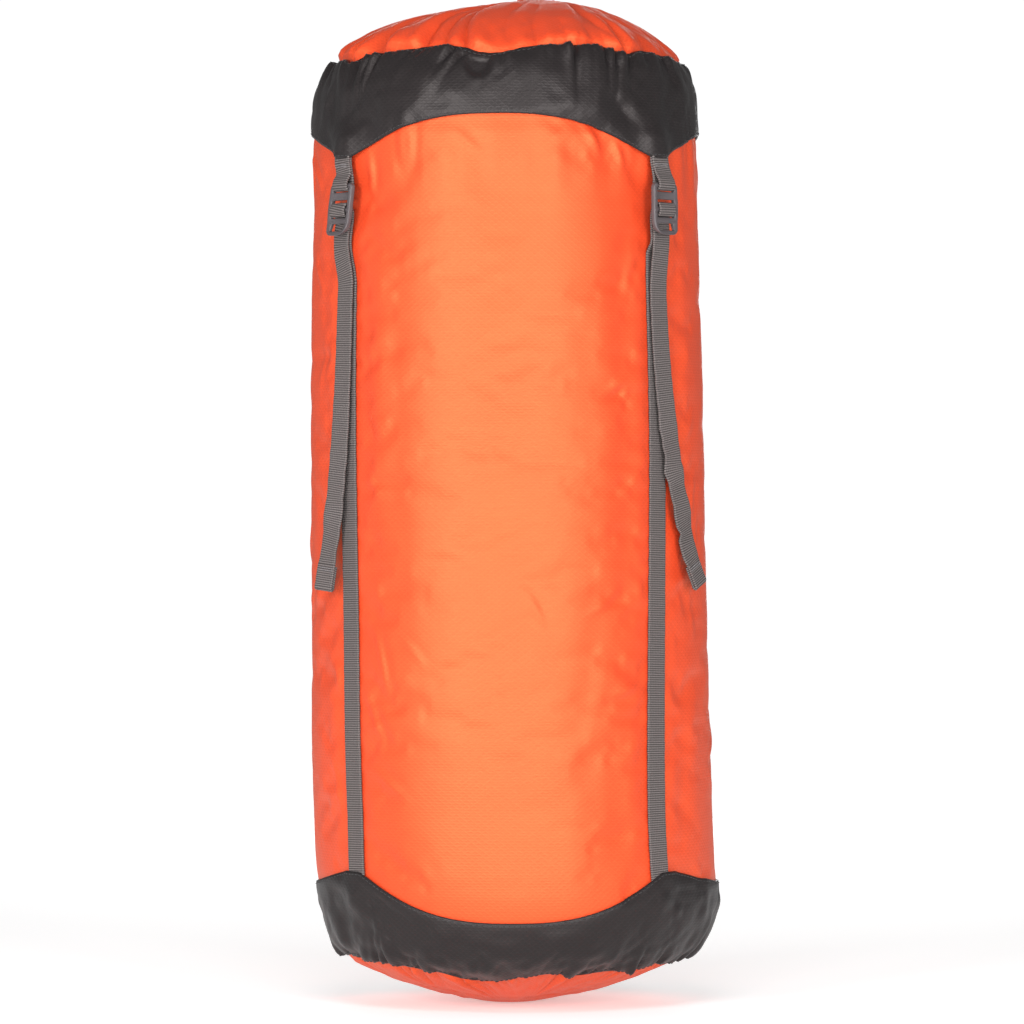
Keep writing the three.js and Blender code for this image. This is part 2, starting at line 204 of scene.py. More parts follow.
def form(angle, s):
    """The stuffed shape before the cloth settles: outline, lean, and grooves where the straps pull in."""
    r = smooth_through(OUTLINE_S, OUTLINE[:, 0], s)
    z = smooth_through(OUTLINE_S, OUTLINE[:, 1], s)
    wall = step(z, 0.1 * HEIGHT, 0.2 * HEIGHT) * (1 - step(z, 0.8 * HEIGHT, 0.87 * HEIGHT))
    groove = bell(strap_distance(angle, z), 15 * MM)
    seam_pad = 2.6 * MM * groove * bell(z - SKIRT_TIP_Z, 15 * MM)
    r = r + (0.3 * MM - 2.2 * MM * groove) * wall + seam_pad
    lean = smooth_through(LEAN[:, 0], LEAN[:, 1], z)
    return np.stack([r * np.cos(angle) + lean, r * np.sin(angle), z], -1)


def outward(points, closed):
    """Unit normals of a grid of points, rows up the sack and columns round it."""
    if closed:
        along = np.roll(points, -1, 1) - np.roll(points, 1, 1)
    else:
        along = np.gradient(points, axis=1)
    return unit(np.cross(along, np.gradient(points, axis=0)))


def new_object(name, mesh):
    piece = bpy.data.objects.new(name, mesh)
    bpy.context.scene.collection.objects.link(piece)
    for polygon in mesh.polygons:
        polygon.use_smooth = True
    return piece


def grid_mesh(name, points, closed, uv):
    """A sheet through a grid of points. uv has one more column than a closed grid has."""
    rows, columns = points.shape[:2]
    count = columns if closed else columns - 1
    j, i = np.meshgrid(np.arange(rows - 1), np.arange(count), indexing="ij")
    k = (i + 1) % columns
    corners = [(j, i), (j, k), (j + 1, k), (j + 1, i)]
    faces = np.stack([row * columns + column for row, column in corners], -1).reshape(-1, 4)
    mesh = bpy.data.meshes.new(name)
    mesh.from_pydata(points.reshape(-1, 3).tolist(), [], faces.tolist())
    layer = mesh.uv_layers.new(name="UVMap")
    loops = np.stack([uv[j, i], uv[j, i + 1], uv[j + 1, i + 1], uv[j + 1, i]], 2)
    layer.data.foreach_set("uv", loops.reshape(-1))
    return new_object(name, mesh)


def apply_modifiers(piece):
    evaluated = piece.evaluated_get(bpy.context.evaluated_depsgraph_get())
    mesh = bpy.data.meshes.new_from_object(evaluated)
    piece.modifiers.clear()
    piece.data = mesh
    for polygon in mesh.polygons:
        polygon.use_smooth = True


def thicken(piece, thickness=FABRIC):
    """Gives a sheet its thickness on the inner side."""
    solidify = piece.modifiers.new("thickness", "SOLIDIFY")
    solidify.thickness = thickness
    solidify.offset = -1
    apply_modifiers(piece)


# Cloth simulation of the whole skin, kept as one height over the form
SIM_COLUMNS, SIM_ROWS = 176, 132
SIM_CAP = 5 * MM  # most that the simulated cloth may leave the form
SIM_FRAMES = 20


def sim_grid():
    angle = np.linspace(0, TAU, SIM_COLUMNS, endpoint=False)
    s = np.linspace(1 * MM, SKIN_LENGTH - 1 * MM, SIM_ROWS)
    return np.meshgrid(angle, s)


def drape():
    """Inflates the skin as cloth that is cut a little too large, held at its seams and under its straps."""
    angle, s = sim_grid()
    start = form(angle, s)
    normal = outward(start, True)
    rough = noise(angle, s, 40, 22 * MM, 3) + 0.6 * noise(angle, s, 90, 11 * MM, 4)
    start = start + normal * (0.25 * MM * rough)[..., None]
    uv = np.zeros((SIM_ROWS, SIM_COLUMNS + 1, 2))
    skin = grid_mesh("settling_skin", start, True, uv)
    z = start[..., 2]
    seam = bell(z - SEAM_LOW_Z, 6 * MM) + bell(z - SEAM_HIGH_Z, 5 * MM)
    strap = 0.9 * bell(strap_distance(angle, z), 6 * MM)
    ground = 1 - step(z, 1.5 * MM, 5 * MM)
    held = np.clip(np.maximum(np.maximum(seam, strap), ground), 0, 1).reshape(-1)
    group = skin.vertex_groups.new(name="held")
    for index in np.nonzero(held > 0.05)[0]:
        group.add([int(index)], float(held[index]), "REPLACE")
    cloth = skin.modifiers.new("cloth", "CLOTH")
    settings = cloth.settings
    for key, value in {
        "quality": 6, "mass": 0.15, "tension_stiffness": 20, "compression_stiffness": 12,
        "shear_stiffness": 6, "bending_stiffness": 0.4, "use_pressure": True, "uniform_pressure_force": 4,
        "shrink_min": -0.012, "vertex_group_mass": "held", "pin_stiffness": 1,
    }.items():
        setattr(settings, key, value)
    settings.effector_weights.gravity = 0
    for frame_number in range(1, SIM_FRAMES + 1):
        bpy.context.scene.frame_set(frame_number)
    evaluated = skin.evaluated_get(bpy.context.evaluated_depsgraph_get())
    points = np.empty(len(evaluated.data.vertices) * 3)
    evaluated.data.vertices.foreach_get("co", points)
    moved = points.reshape(start.shape) - start
    bpy.context.scene.frame_set(1)
    bpy.data.objects.remove(skin)
    height = (moved * normal).sum(-1)
    height -= height.mean(axis=1, keepdims=True)
    return SIM_CAP * np.tanh(height / SIM_CAP)


SETTLED = drape()


def settled(angle, s):
    """The simulated height over the form, read smoothly between the points of the simulation."""
    u = (angle / TAU % 1) * SIM_COLUMNS
    v = np.clip((s - 1 * MM) / (SKIN_LENGTH - 2 * MM), 0, 1) * (SIM_ROWS - 1)
    i, j = np.floor(u).astype(int), np.floor(v).astype(int)

    def weights(t):
        return [-0.5 * t + t**2 - 0.5 * t**3, 1 - 2.5 * t**2 + 1.5 * t**3,
                0.5 * t + 2 * t**2 - 1.5 * t**3, -0.5 * t**2 + 0.5 * t**3]

    total = 0
    for a, across in enumerate(weights(u - i)):
        for b, along in enumerate(weights(v - j)):
            row = np.clip(j + b - 1, 0, SIM_ROWS - 1)
            total = total + across * along * SETTLED[row, (i + a - 1) % SIM_COLUMNS]
    return total


# Creases seen in front: degrees from the middle, share of the height, then length, width and depth in
# millimetres, and degrees that the crease's foot leans to the right
FRONT_CREASES = [
    (-37, 0.341, 62, 2.4, 0.8, 15), (-26, 0.353, 34, 2.2, 0.5, 45), (-40, 0.285, 46, 2.6, 1.0, 25),
    (-35, 0.225, 46, 2.6, 0.8, 57), (9, 0.398, 40, 2.6, 0.9, 28), (30, 0.4, 32, 2.4, 0.9, -58),
    (36, 0.315, 34, 3.0, 1.2, -72), (35, 0.61, 32, 2.6, 1.1, -62), (-42, 0.82, 36, 2.6, 1.2, 3),
    (29, 0.85, 30, 2.8, 1.7, 33), (38, 0.838, 20, 2.4, 1.5, 30), (-9, 0.848, 30, 2.6, 0.8, 50),
    (41, 0.72, 56, 4.0, 0.9, -14),
]


def scattered_creases():
    """Creases scattered at random over the rest of the sack, each slanting its own way."""
    random = np.random.default_rng(17)
    creases = []
    for _ in range(70):
        degrees = random.uniform(50, 310)
        share = random.uniform(0.12, 0.86)
        length, width, depth = random.uniform(25, 60), random.uniform(2.2, 4.2), random.uniform(0.5, 1.3)
        creases.append((degrees, share, length, width, depth, random.uniform(-60, 60)))
    return creases


CREASES = FRONT_CREASES + scattered_creases()


def creased(angle, s):
    """Height of all the creases: a fine ridge with a shallower valley beside it."""
    total = 0
    for degrees, share, length, width, depth, lean in CREASES:
        across = from_front(angle, math.radians(degrees))
        up = s - s_at(share * HEIGHT)
        lean = math.radians(lean)
        along = up * math.cos(lean) - across * math.sin(lean)
        beside = across * math.cos(lean) + up * math.sin(lean) + along**2 / (4 * length * MM)
        reach = np.clip(1 - (2 * along / (length * MM)) ** 2, 0, 1) ** 2
        ridge = bell(beside, width * MM) - 0.55 * bell(beside - 1.8 * width * MM, 1.3 * width * MM)
        total = total + depth * MM * ridge * reach
    return total


def folds(angle, s, z):
    """Folds that the straps and seams press into the cloth."""
    beside = strap_distance(angle, z)
    wall = step(z, 0.13 * HEIGHT, 0.22 * HEIGHT) * (1 - step(z, 0.72 * HEIGHT, 0.83 * HEIGHT))
    ridge = bell(beside - 15 * MM, 8 * MM) * (1.0 + 0.8 * noise(angle, s, 9, 90 * MM, 11))
    upright = noise(angle, s, 48, 120 * MM, 12) * bell(beside - 20 * MM, 26 * MM)
    front_wrinkles = noise(angle - 2.2 * s, s, 60, 26 * MM, 81)
    where = bell(from_front(angle, 0.5), 45 * MM) * bell(z - 0.3 * HEIGHT, 70 * MM)
    hem_puckers = noise(angle, s, 64, 46 * MM, 82) * bell(z - 0.835 * HEIGHT, 24 * MM)
    pucker_across = from_front(angle, -math.radians(28.5)) / (6.5 * MM)
    pucker_up = (z - 0.85 * HEIGHT) / (17 * MM)
    pucker = np.exp(-((pucker_across**2 + pucker_up**2) ** 2))
    near_hem = 0.8 * front_wrinkles * where + 1.1 * hem_puckers + 1.9 * pucker
    return wall * (0.9 * MM * ridge + 1.3 * MM * upright) + creased(angle, s) + near_hem * MM


def skin(angle, s, closed):
    """Points and normals of the settled skin."""
    base = form(angle, s)
    normal = outward(base, closed)
    z = base[..., 2]
    height = settled(angle, s)
    beside = strap_distance(angle, z)
    near = bell(beside, 13 * MM)
    wall = step(z, 0.12 * HEIGHT, 0.2 * HEIGHT) * (1 - step(z, 0.8 * HEIGHT, 0.87 * HEIGHT))
    height = height * (1 - 0.68 * wall * step(beside, 22 * MM, 60 * MM))
    height = height * (1 - 0.85 * near) + folds(angle, s, z) * (1 - near)
    points = base + normal * height[..., None]
    return points, outward(points, closed)


def scallops(angle, tip, front, side):
    """Height of an edge with scallops in front, behind and at the sides, and a flat tip on each strap."""
    flat = 0.5 * WEB_WIDTH / RADIUS
    from_front = np.abs(np.cos(angle)) / (math.sin(STRAP_ANGLE) - flat * math.cos(STRAP_ANGLE))
    from_side = np.abs(np.sin(angle)) / (math.cos(STRAP_ANGLE) - flat * math.sin(STRAP_ANGLE))
    front_edge = front + (tip - front) * np.minimum(from_front, 1) ** SCALLOP_POWER
    side_edge = side + (tip - side) * np.minimum(from_side, 1) ** SIDE_SCALLOP_POWER
    return np.where(from_front < 1, front_edge, np.where(from_side < 1, side_edge, tip))


def band_edge(angle):
    return scallops(angle, BAND_TIP_Z, BAND_FRONT_Z, BAND_SIDE_Z)


def skirt_edge(angle):
    return scallops(angle, SKIRT_TIP_Z, SKIRT_FRONT_Z, SKIRT_SIDE_Z)


def seam_low(angle):
    wave = 3.2 * MM * noise(angle, 0 * angle, 11, 1, 21) + 1.4 * MM * noise(angle, 0 * angle, 34, 1, 22)
    return SEAM_LOW_Z + 7 * MM * np.abs(np.cos(angle)) ** 3 + wave


def seam_high(angle):
    wave = 1.8 * MM * noise(angle, 0 * angle, 12, 1, 23) + 1.2 * MM * noise(angle, 0 * angle, 29, 1, 24)
    dips = 0
    for degrees, depth, wide in [(-59, 3.5, 8), (-4, 5, 19), (44, 3.5, 12)]:
        across = from_front(angle, math.radians(degrees))
        dips = dips + depth * MM * bell(across, wide * MM)
    return SEAM_HIGH_Z + 1 * MM + wave - dips - 4 * MM * np.cos(angle) ** 4


def columns_round():
    return np.linspace(0, TAU, COLUMNS, endpoint=False)


def ring_rows(low_s, high_s, places):
    """Grids of angle and place along the outline, between two edges that go round the sack."""
    angle = columns_round()
    places = np.asarray(places)[:, None]
    s = low_s[None, :] * (1 - places) + high_s[None, :] * places
    return np.broadcast_to(angle, s.shape), s


def sheet_uv(angle, s):
    """Metres round the sack and along its outline, with the closing column added."""
    angle = np.concatenate([angle, angle[:, :1] + TAU], 1)
    s = np.concatenate([s, s[:, :1]], 1)
    return np.stack([angle * RADIUS, s], -1)


def ring_cloth(name, points, angle, s):
    """A closed ring of cloth with its thickness."""
    piece = grid_mesh(name, points, True, sheet_uv(angle, s))
    thicken(piece)
    return piece


def declare_trim(low_z, high_z):
    """A trim ring is a strip as long as the sack's girth, cut with the scallops along one edge."""
    angle = columns_round()
    tall = s_at(high_z(angle)) - s_at(low_z(angle))


def shares(rows, low=0.0, high=0.0):
    """Row places from 0 to 1, crowded towards an end where the cloth has more detail."""
    t = np.linspace(0, 1, rows)
    return t - low * np.sin(math.pi * t) * (1 - t) * 0.5 + high * np.sin(math.pi * t) * t * 0.5


def gathers(angle, distance, depth, reach, count, seed):
    """Pleats with sharp valleys that run away from a seam and die out."""
    fan = angle + 5 * noise(angle, 0 * angle, 17, 1, seed + 2) * distance
    pleat = np.abs(noise(fan, 0 * angle, count, 1, seed)) ** 0.8 - 0.42
    small = noise(fan, 0 * angle, 2 * count, 1, seed + 3)
    slow = 0.5 + 0.5 * noise(angle, 0 * angle, count // 5, 1, seed + 1)
    fade = np.exp(-distance / (reach * (0.45 + 0.9 * slow))) * (1 - np.exp(-distance / (2.5 * MM)))
    return depth * (2 * pleat * (0.5 + slow) + 0.35 * small) * fade


# Fabric pieces
def base_panel():
    angle = columns_round()
    rim = s_at(seam_low(angle)) + 3 * MM
    grid_angle, s = ring_rows(0 * rim + 0.5 * MM, rim, shares(46, high=-0.5))
    points, normal = skin(grid_angle, s, True)
    from_seam = np.maximum(rim[None, :] - 3 * MM - s, 0)
    height = gathers(grid_angle, from_seam, 3.2 * MM, 18 * MM, 80, 31)
    height = height - 0.9 * MM * np.exp(-from_seam / (2 * MM))
    height = height * step(points[..., 2], 0.8 * MM, 5 * MM)
    points = points + normal * height[..., None]
    points[..., 2] = np.maximum(points[..., 2], 0.3 * MM)
    return ring_cloth("base_panel_cloth", points, grid_angle, s)


def band_height(angle, s, low, high):
    """How far the base band's cloth stands off the skin: hem, gathers, and folds under its points."""
    z = smooth_through(OUTLINE_S, OUTLINE[:, 1], s)
    beside = strap_distance(angle, z)
    height = LAYER + gathers(angle, s - low, 5.2 * MM, 10 * MM, 84, 41)
    height = height - 1.2 * MM * np.exp(-(s - low) / (2 * MM))
    fold = noise(angle + (s - high) * 3, s, 44, 70 * MM, 42) * bell(beside - 16 * MM, 20 * MM)
    middle = step(s - low, 3 * MM, 16 * MM) * step(high - s, 3 * MM, 14 * MM)
    crumple = noise(angle + 2 * s, s, 46, 15 * MM, 43) + 0.5 * noise(angle - 3 * s, s, 90, 9 * MM, 44)
    height = height + middle * (2.8 * MM * fold + 1.5 * MM * crumple)
    hem = -0.9 * MM * np.exp(-(high - s) / (2.5 * MM))
    over_strap = 1.1 * MM * bell(beside, 11 * MM) * step(s - high, -34 * MM, -10 * MM)
    lowest = (1.4 - 2.2 * (1 - step(z, BAND_FRONT_Z - 36 * MM, BAND_FRONT_Z - 14 * MM))) * MM
    return np.maximum(height + hem, lowest) + over_strap


def base_band():
    angle = columns_round()
    low = s_at(seam_low(angle)) + 0.4 * MM
    high = s_at(band_edge(angle))
    grid_angle, s = ring_rows(low, high, shares(52))
    points, normal = skin(grid_angle, s, True)
    points = points + normal * band_height(grid_angle, s, low[None, :], high[None, :])[..., None]
    return ring_cloth("base_band_cloth", points, grid_angle, s)


def skirt_height(angle, s, low, high):
    """How far the lid skirt's cloth stands off the skin."""
    z = smooth_through(OUTLINE_S, OUTLINE[:, 1], s)
    beside = strap_distance(angle, z)
    height = LAYER + gathers(angle, high - s, 5.6 * MM, 9 * MM, 90, 51)
    height = height - 1.0 * MM * np.exp(-(high - s) / (2.2 * MM))
    fold = noise(angle, s, 40, 50 * MM, 52) * bell(beside - 14 * MM, 24 * MM)
    middle = step(s - low, 2 * MM, 14 * MM) * step(high - s, 4 * MM, 18 * MM)
    crumple = noise(angle + 2 * s, s, 40, 17 * MM, 53) + 0.5 * noise(angle - 3 * s, s, 84, 10 * MM, 54)
    height = height + middle * (1.8 * MM * fold + 1.1 * MM * crumple)
    pocket_across = from_front(angle, -0.13) / (8.5 * MM)
    pocket_up = (s - high + 9 * MM) / (8 * MM)
    pocket = np.exp(-((pocket_across**2 + pocket_up**2) ** 2))
    height = height * (1 - pocket) - 1.2 * MM * pocket
    hem = -0.9 * MM * np.exp(-(s - low) / (2.5 * MM))
    over_tab = 4.6 * MM * bell(beside, 13 * MM) * (1 - step(s - low, 10 * MM, 30 * MM))
    lowest = (0.8 - 3.5 * step(high - s, 3 * MM, 9 * MM) + 4.1 * (1 - step(s - low, 8 * MM, 16 * MM))) * MM
    return np.maximum(height + hem, lowest) + over_tab


def lid_skirt():
    angle = columns_round()
    low = s_at(skirt_edge(angle))
    high = s_at(seam_high(angle)) - 0.4 * MM
    grid_angle, s = ring_rows(low, high, shares(56))
    points, normal = skin(grid_angle, s, True)
    points = points + normal * skirt_height(grid_angle, s, low[None, :], high[None, :])[..., None]
    return ring_cloth("lid_skirt_cloth", points, grid_angle, s)


def lid_crown():
    angle = columns_round()
    low = s_at(seam_high(angle)) - 3 * MM
    grid_angle, s = ring_rows(low, 0 * low + SKIN_LENGTH - 0.5 * MM, shares(64, low=-0.4))
    points, normal = skin(grid_angle, s, True)
    from_rim = np.maximum(s - low[None, :] - 3 * MM, 0)
    height = LAYER + gathers(grid_angle, from_rim, 5.0 * MM, 34 * MM, 44, 61)
    height = height - 3.2 * MM * np.exp(-from_rim / (2 * MM))
    rays = np.abs(noise(grid_angle + 1.5 * from_rim, 0 * s, 26, 1, 63)) ** 0.7 - 0.45
    rays = rays * step(from_rim, 4 * MM, 26 * MM)
    height = height + 3.0 * MM * rays * (1 - step(from_rim, 50 * MM, 110 * MM))
    points = points + normal * height[..., None]
    return ring_cloth("lid_crown_cloth", points, grid_angle, s)


def mouth_rows(rim_points, angle, rows):
    """The tube's top, gathered from the skin in to the drawcord channel."""
    top_z = MOUTH_Z - CHANNEL_R + 1 * MM
    outline_r = np.array([1.0, 0.955, 0.84, 0.6, 0.43, 0.36, 0.325])
    outline_rise = np.array([0.0, 0.42, 0.68, 0.79, 0.82, 0.9, 1.06])
    t = np.linspace(0, 1, len(outline_r))
    at = np.linspace(0, 1, rows + 1)[1:]
    inner = outline_r[-1]
    share_r = (smooth_through(t, outline_r, at) - inner) / (1 - inner)
    rise = smooth_through(t, outline_rise, at)
    rim_r = np.hypot(rim_points[:, 0], rim_points[:, 1])
    result = []
    for share, lift in zip(share_r, rise):
        r = MOUTH_R * 1.03 + (rim_r - MOUTH_R * 1.03) * share
        z = rim_points[:, 2] + (top_z - rim_points[:, 2]) * min(lift, outline_rise[-1])
        pleat = noise(angle, 0 * angle + share * 0.4, 44, 1, 71) + 0.5 * noise(angle, 0 * angle, 88, 1, 72)
        z = z + 3.2 * MM * pleat * step(1 - share, 0.12, 0.6) * (1 - 0.6 * step(1 - share, 0.8, 1))
        z = np.minimum(z, 0.9 * HEIGHT + 22 * MM)
        under_lock = bell(np.hypot(r * np.cos(angle), r * np.sin(angle) - LOCK_CENTRE.y), 17 * MM)
        z = z - under_lock * np.maximum(z - LOCK_LOW_Z + 5 * MM, 0)
        result.append(np.stack([r * np.cos(angle), r * np.sin(angle), z], -1))
    return np.array(result)


def tube():
    angle = columns_round()
    low = 0 * angle + s_at(SEAM_LOW_Z + 1 * MM)
    top_z = 0.884 * HEIGHT
    grid_angle, s = ring_rows(low, 0 * angle + s_at(top_z), shares(300))
    points, normal = skin(grid_angle, s, True)
    z = points[..., 2]
    under_lid = step(z, 0.855 * HEIGHT, 0.87 * HEIGHT)
    under_band = 1 - step(z, BAND_FRONT_Z - 12 * MM, BAND_FRONT_Z - 2 * MM)
    under_gathers = 1 - step(z, BAND_FRONT_Z - 32 * MM, BAND_FRONT_Z - 10 * MM)
    height = -0.7 * MM * (under_lid + under_band) - 2.8 * MM * under_gathers
    points = points + normal * height[..., None]
    mouth = mouth_rows(points[-1], angle, 54)
    points = np.concatenate([points, mouth])
    steps = np.linalg.norm(np.diff(points[:, ::16], axis=0), axis=-1).mean(axis=1)
    length = low[0] + np.concatenate([[0], np.cumsum(steps)])
    grid_s = np.broadcast_to(length[:, None], points.shape[:2])
    grid_angle = np.broadcast_to(angle, points.shape[:2])
    return ring_cloth("tube_cloth", points, grid_angle, grid_s)


def back_seam():
    """The felled seam up the back, as a narrow band of cloth on the skin."""
    z = np.linspace(BAND_SIDE_Z - 16 * MM, 0.875 * HEIGHT, 160)[:, None]
    across = np.linspace(-1, 1, 9)[None, :]
    angle = math.pi / 2 + across * 5 * MM / RADIUS + 0 * z
    s = np.broadcast_to(s_at(z), angle.shape)
    points, normal = skin(angle, s, False)
    rounded_off = 0.9 * MM * (1 - np.abs(across) ** 6)
    points = points + normal * np.broadcast_to(rounded_off, angle.shape)[..., None]
    return grid_mesh("tube_seam", points, False, np.stack([angle * RADIUS, s], -1))


# Stitching
def read_at(at, places, points):
    """Points of a line at given distances along it."""
    return np.stack([np.interp(at, places, points[:, k]) for k in range(3)], -1)


def stitch_rows(name, rows, pitch=3.3 * MM, length=2.5 * MM, size=0.26 * MM):
    """One mesh of small stitches. Each row is a line of points with their outward directions."""
    ring = np.linspace(0, TAU, 6, endpoint=False)
    along = np.array([-1, -0.8, 0, 0.8, 1]) * length / 2
    girth = np.array([0.05, 0.8, 1, 0.8, 0.05]) * size
    sink = np.array([-1.2, -0.1, 0.2, -0.1, -1.2]) * size
    points, faces = [], []
    for path, outs in rows:
        places = places_along(path)
        at = np.arange(pitch / 2, places[-1], pitch)
        centre = read_at(at, places, path)
        out = unit(read_at(at, places, outs))
        forward = unit(read_at(at + pitch / 3, places, path) - read_at(at - pitch / 3, places, path))
        side = unit(np.cross(out, forward))
        for c, o, f, w in zip(centre, out, forward, side):
            first = len(points) * len(ring) * len(along)
            block = [
                c + f * a + o * (lift + g * math.cos(t)) + w * g * math.sin(t)
                for a, g, lift in zip(along, girth, sink) for t in ring
            ]
            points.append(block)
            for j in range(len(along) - 1):
                for i in range(len(ring)):
                    k = (i + 1) % len(ring)
                    low, high = first + j * len(ring), first + (j + 1) * len(ring)
                    faces.append((low + i, low + k, high + k, high + i))
    mesh = bpy.data.meshes.new(name)
    mesh.from_pydata(np.array(points).reshape(-1, 3).tolist(), [], faces)
    return new_object(name, mesh)


def edge_row(edge_z, height_at, inset):
    """A closed line on a cloth, at a distance from its edge."""
    angle = np.linspace(0, TAU, 720)
    s = s_at(edge_z(angle)) + inset
    lines = np.stack([s - 0.4 * MM, s, s + 0.4 * MM])
    grid_angle = np.broadcast_to(angle, lines.shape)
    points, normal = skin(grid_angle, lines, False)
    path = points[1] + normal[1] * (height_at(angle, s) + 0.15 * MM)[:, None]
    return path, normal[1]


def band_stitching():
    def height(angle, s):
        return band_height(angle, s, s_at(seam_low(angle)) + 0.4 * MM, s_at(band_edge(angle)))

    rows = [edge_row(band_edge, height, -1.7 * MM), edge_row(seam_low, height, 2.6 * MM)]
    return stitch_rows("base_band_stitching", rows)


def skirt_stitching():
    def height(angle, s):
        return skirt_height(angle, s, s_at(skirt_edge(angle)), s_at(seam_high(angle)) - 0.4 * MM)

    rows = [edge_row(skirt_edge, height, 1.7 * MM), edge_row(seam_high, height, -2.6 * MM)]
    return stitch_rows("lid_skirt_stitching", rows)


def tube_of(name, path, radius, sides):
    """A round cord through a line of points."""
    path = np.asarray(path, float)
    forward = unit(np.gradient(path, axis=0))
    reference = np.array([0.0, 0.0, 1.0])
    side = unit(np.cross(forward, reference + 1e-3))
    up = np.cross(side, forward)
    ring = np.linspace(0, TAU, sides, endpoint=False)
    circle = side[:, None, :] * np.cos(ring)[None, :, None] + up[:, None, :] * np.sin(ring)[None, :, None]
    points = path[:, None, :] + radius * circle
    length = places_along(path)
    around = np.linspace(0, TAU, sides + 1) * radius
    uv = np.stack(np.broadcast_arrays(around[None, :], length[:, None]), -1)
    return grid_mesh(name, points, True, uv)


# Webbing
def webbing(name, path, outs):
    """A flat strap along a line, with rounded edges. Its uv gives metres across and along."""
    path, outs = np.asarray(path, float), unit(np.asarray(outs, float))
    forward = unit(np.gradient(path, axis=0))
    across = unit(np.cross(forward, outs))
    outs = np.cross(across, forward)
    half, deep = WEB_WIDTH / 2, WEB / 2
    edge = [(half - deep * 0.9, 1), (half - deep * 0.35, 0.8), (half, 0), (half - deep * 0.35, -0.8),
            (half - deep * 0.9, -1)]
    flat = np.linspace(half - 1.5 * MM, -half + 1.5 * MM, 7)
    section = edge + [(x, -1 + 0.05 * math.cos(x / half * 2)) for x in flat]
    section += [(-x, -y) for x, y in edge] + [(x, 1 - 0.05 * math.cos(x / half * 2)) for x in flat[::-1]]
    section = np.array([(x, y * deep) for x, y in section])
    points = path[:, None, :] + across[:, None, :] * section[None, :, :1]
    points = points + outs[:, None, :] * section[None, :, 1:]
    length = places_along(path)
    u = np.append(section[:, 0], section[0, 0])
    uv = np.stack(np.broadcast_arrays(u[None, :], length[:, None]), -1)
    piece = grid_mesh(name, points, True, uv)
    build = bmesh.new()
    build.from_mesh(piece.data)
    rims = [edge for edge in build.edges if edge.is_boundary]
    bmesh.ops.holes_fill(build, edges=rims)
    for edge in rims:
        edge.smooth = False
    build.to_mesh(piece.data)
    build.free()
    return piece


def radial(angle):
    return np.array([math.cos(angle), math.sin(angle), 0.0])


def tangent(angle):
    return np.array([-math.sin(angle), math.cos(angle), 0.0])


def on_skin(angle_at, z_values, offset):
    """A line up the skin with its outward directions."""
    z = np.asarray(z_values)
    angle = np.array([angle_at(value) for value in z])
    s = s_at(z)
    spread = np.stack([angle - 0.004, angle, angle + 0.004], 1)
    points, normal = skin(spread, np.repeat(s[:, None], 3, 1), False)
    normal = normal[:, 1] * (1 if z[-1] > z[0] else -1)
    return points[:, 1] + normal * np.asarray(offset)[..., None], normal


def smooth_path(points, count):
    """A smooth line through a few points."""
    points = np.asarray(points, float)
    places = places_along(points)
    at = np.linspace(0, places[-1], count)
    return np.stack([smooth_through(places, points[:, k], at) for k in range(points.shape[1])], -1)


SPLIT_LOW_Z = CRUMPLE_TOP_Z + 3 * MM
SPLIT_HIGH_Z = 0.7 * HEIGHT
STRAP_OFFSET = WEB / 2 + 0.3 * MM
SLOT_IN_Z = BUCKLE_TOP_Z - 12.7 * MM
SLOT_OUT_Z = BUCKLE_TOP_Z - 19.5 * MM
GRIP_OFF = BUCKLE_THICK / 2 + WEB / 2 + 0.2 * MM
TAIL_R = BUCKLE_BACK_R - WEB / 2 - 0.3 * MM


def standing_strap(side, name, low, high, rows):
    heights = np.linspace(low, high, rows)
    path, outs = on_skin(lambda z: strap_angle_at(side, z), heights, np.full(rows, STRAP_OFFSET))
    return webbing(name, path, outs)


# Degrees that each ladder lock hangs askew
SWING = {"front_left": -10, "front_right": 1, "back_right": -3, "back_left": 4}


def swung(side, points):
    """Points near a ladder lock moved sideways with it, as it hangs a few degrees askew from its pin."""
    points = np.asarray(points, float)
    drop = PIN.z - points[:, 2]
    share = step(points[:, 2], BUCKLE_LOW_Z - 30 * MM, BUCKLE_LOW_Z) * (drop > 0)
    sideways = drop * share * math.tan(math.radians(SWING[side]))
    return points + sideways[:, None] * tangent(STATIONS[side])


def in_station(side, points):
    """Points given as radius and height on a strap's radial plane."""
    angle = STATIONS[side]
    return np.array([r * radial(angle) + np.array([0, 0, z]) for r, z in points])


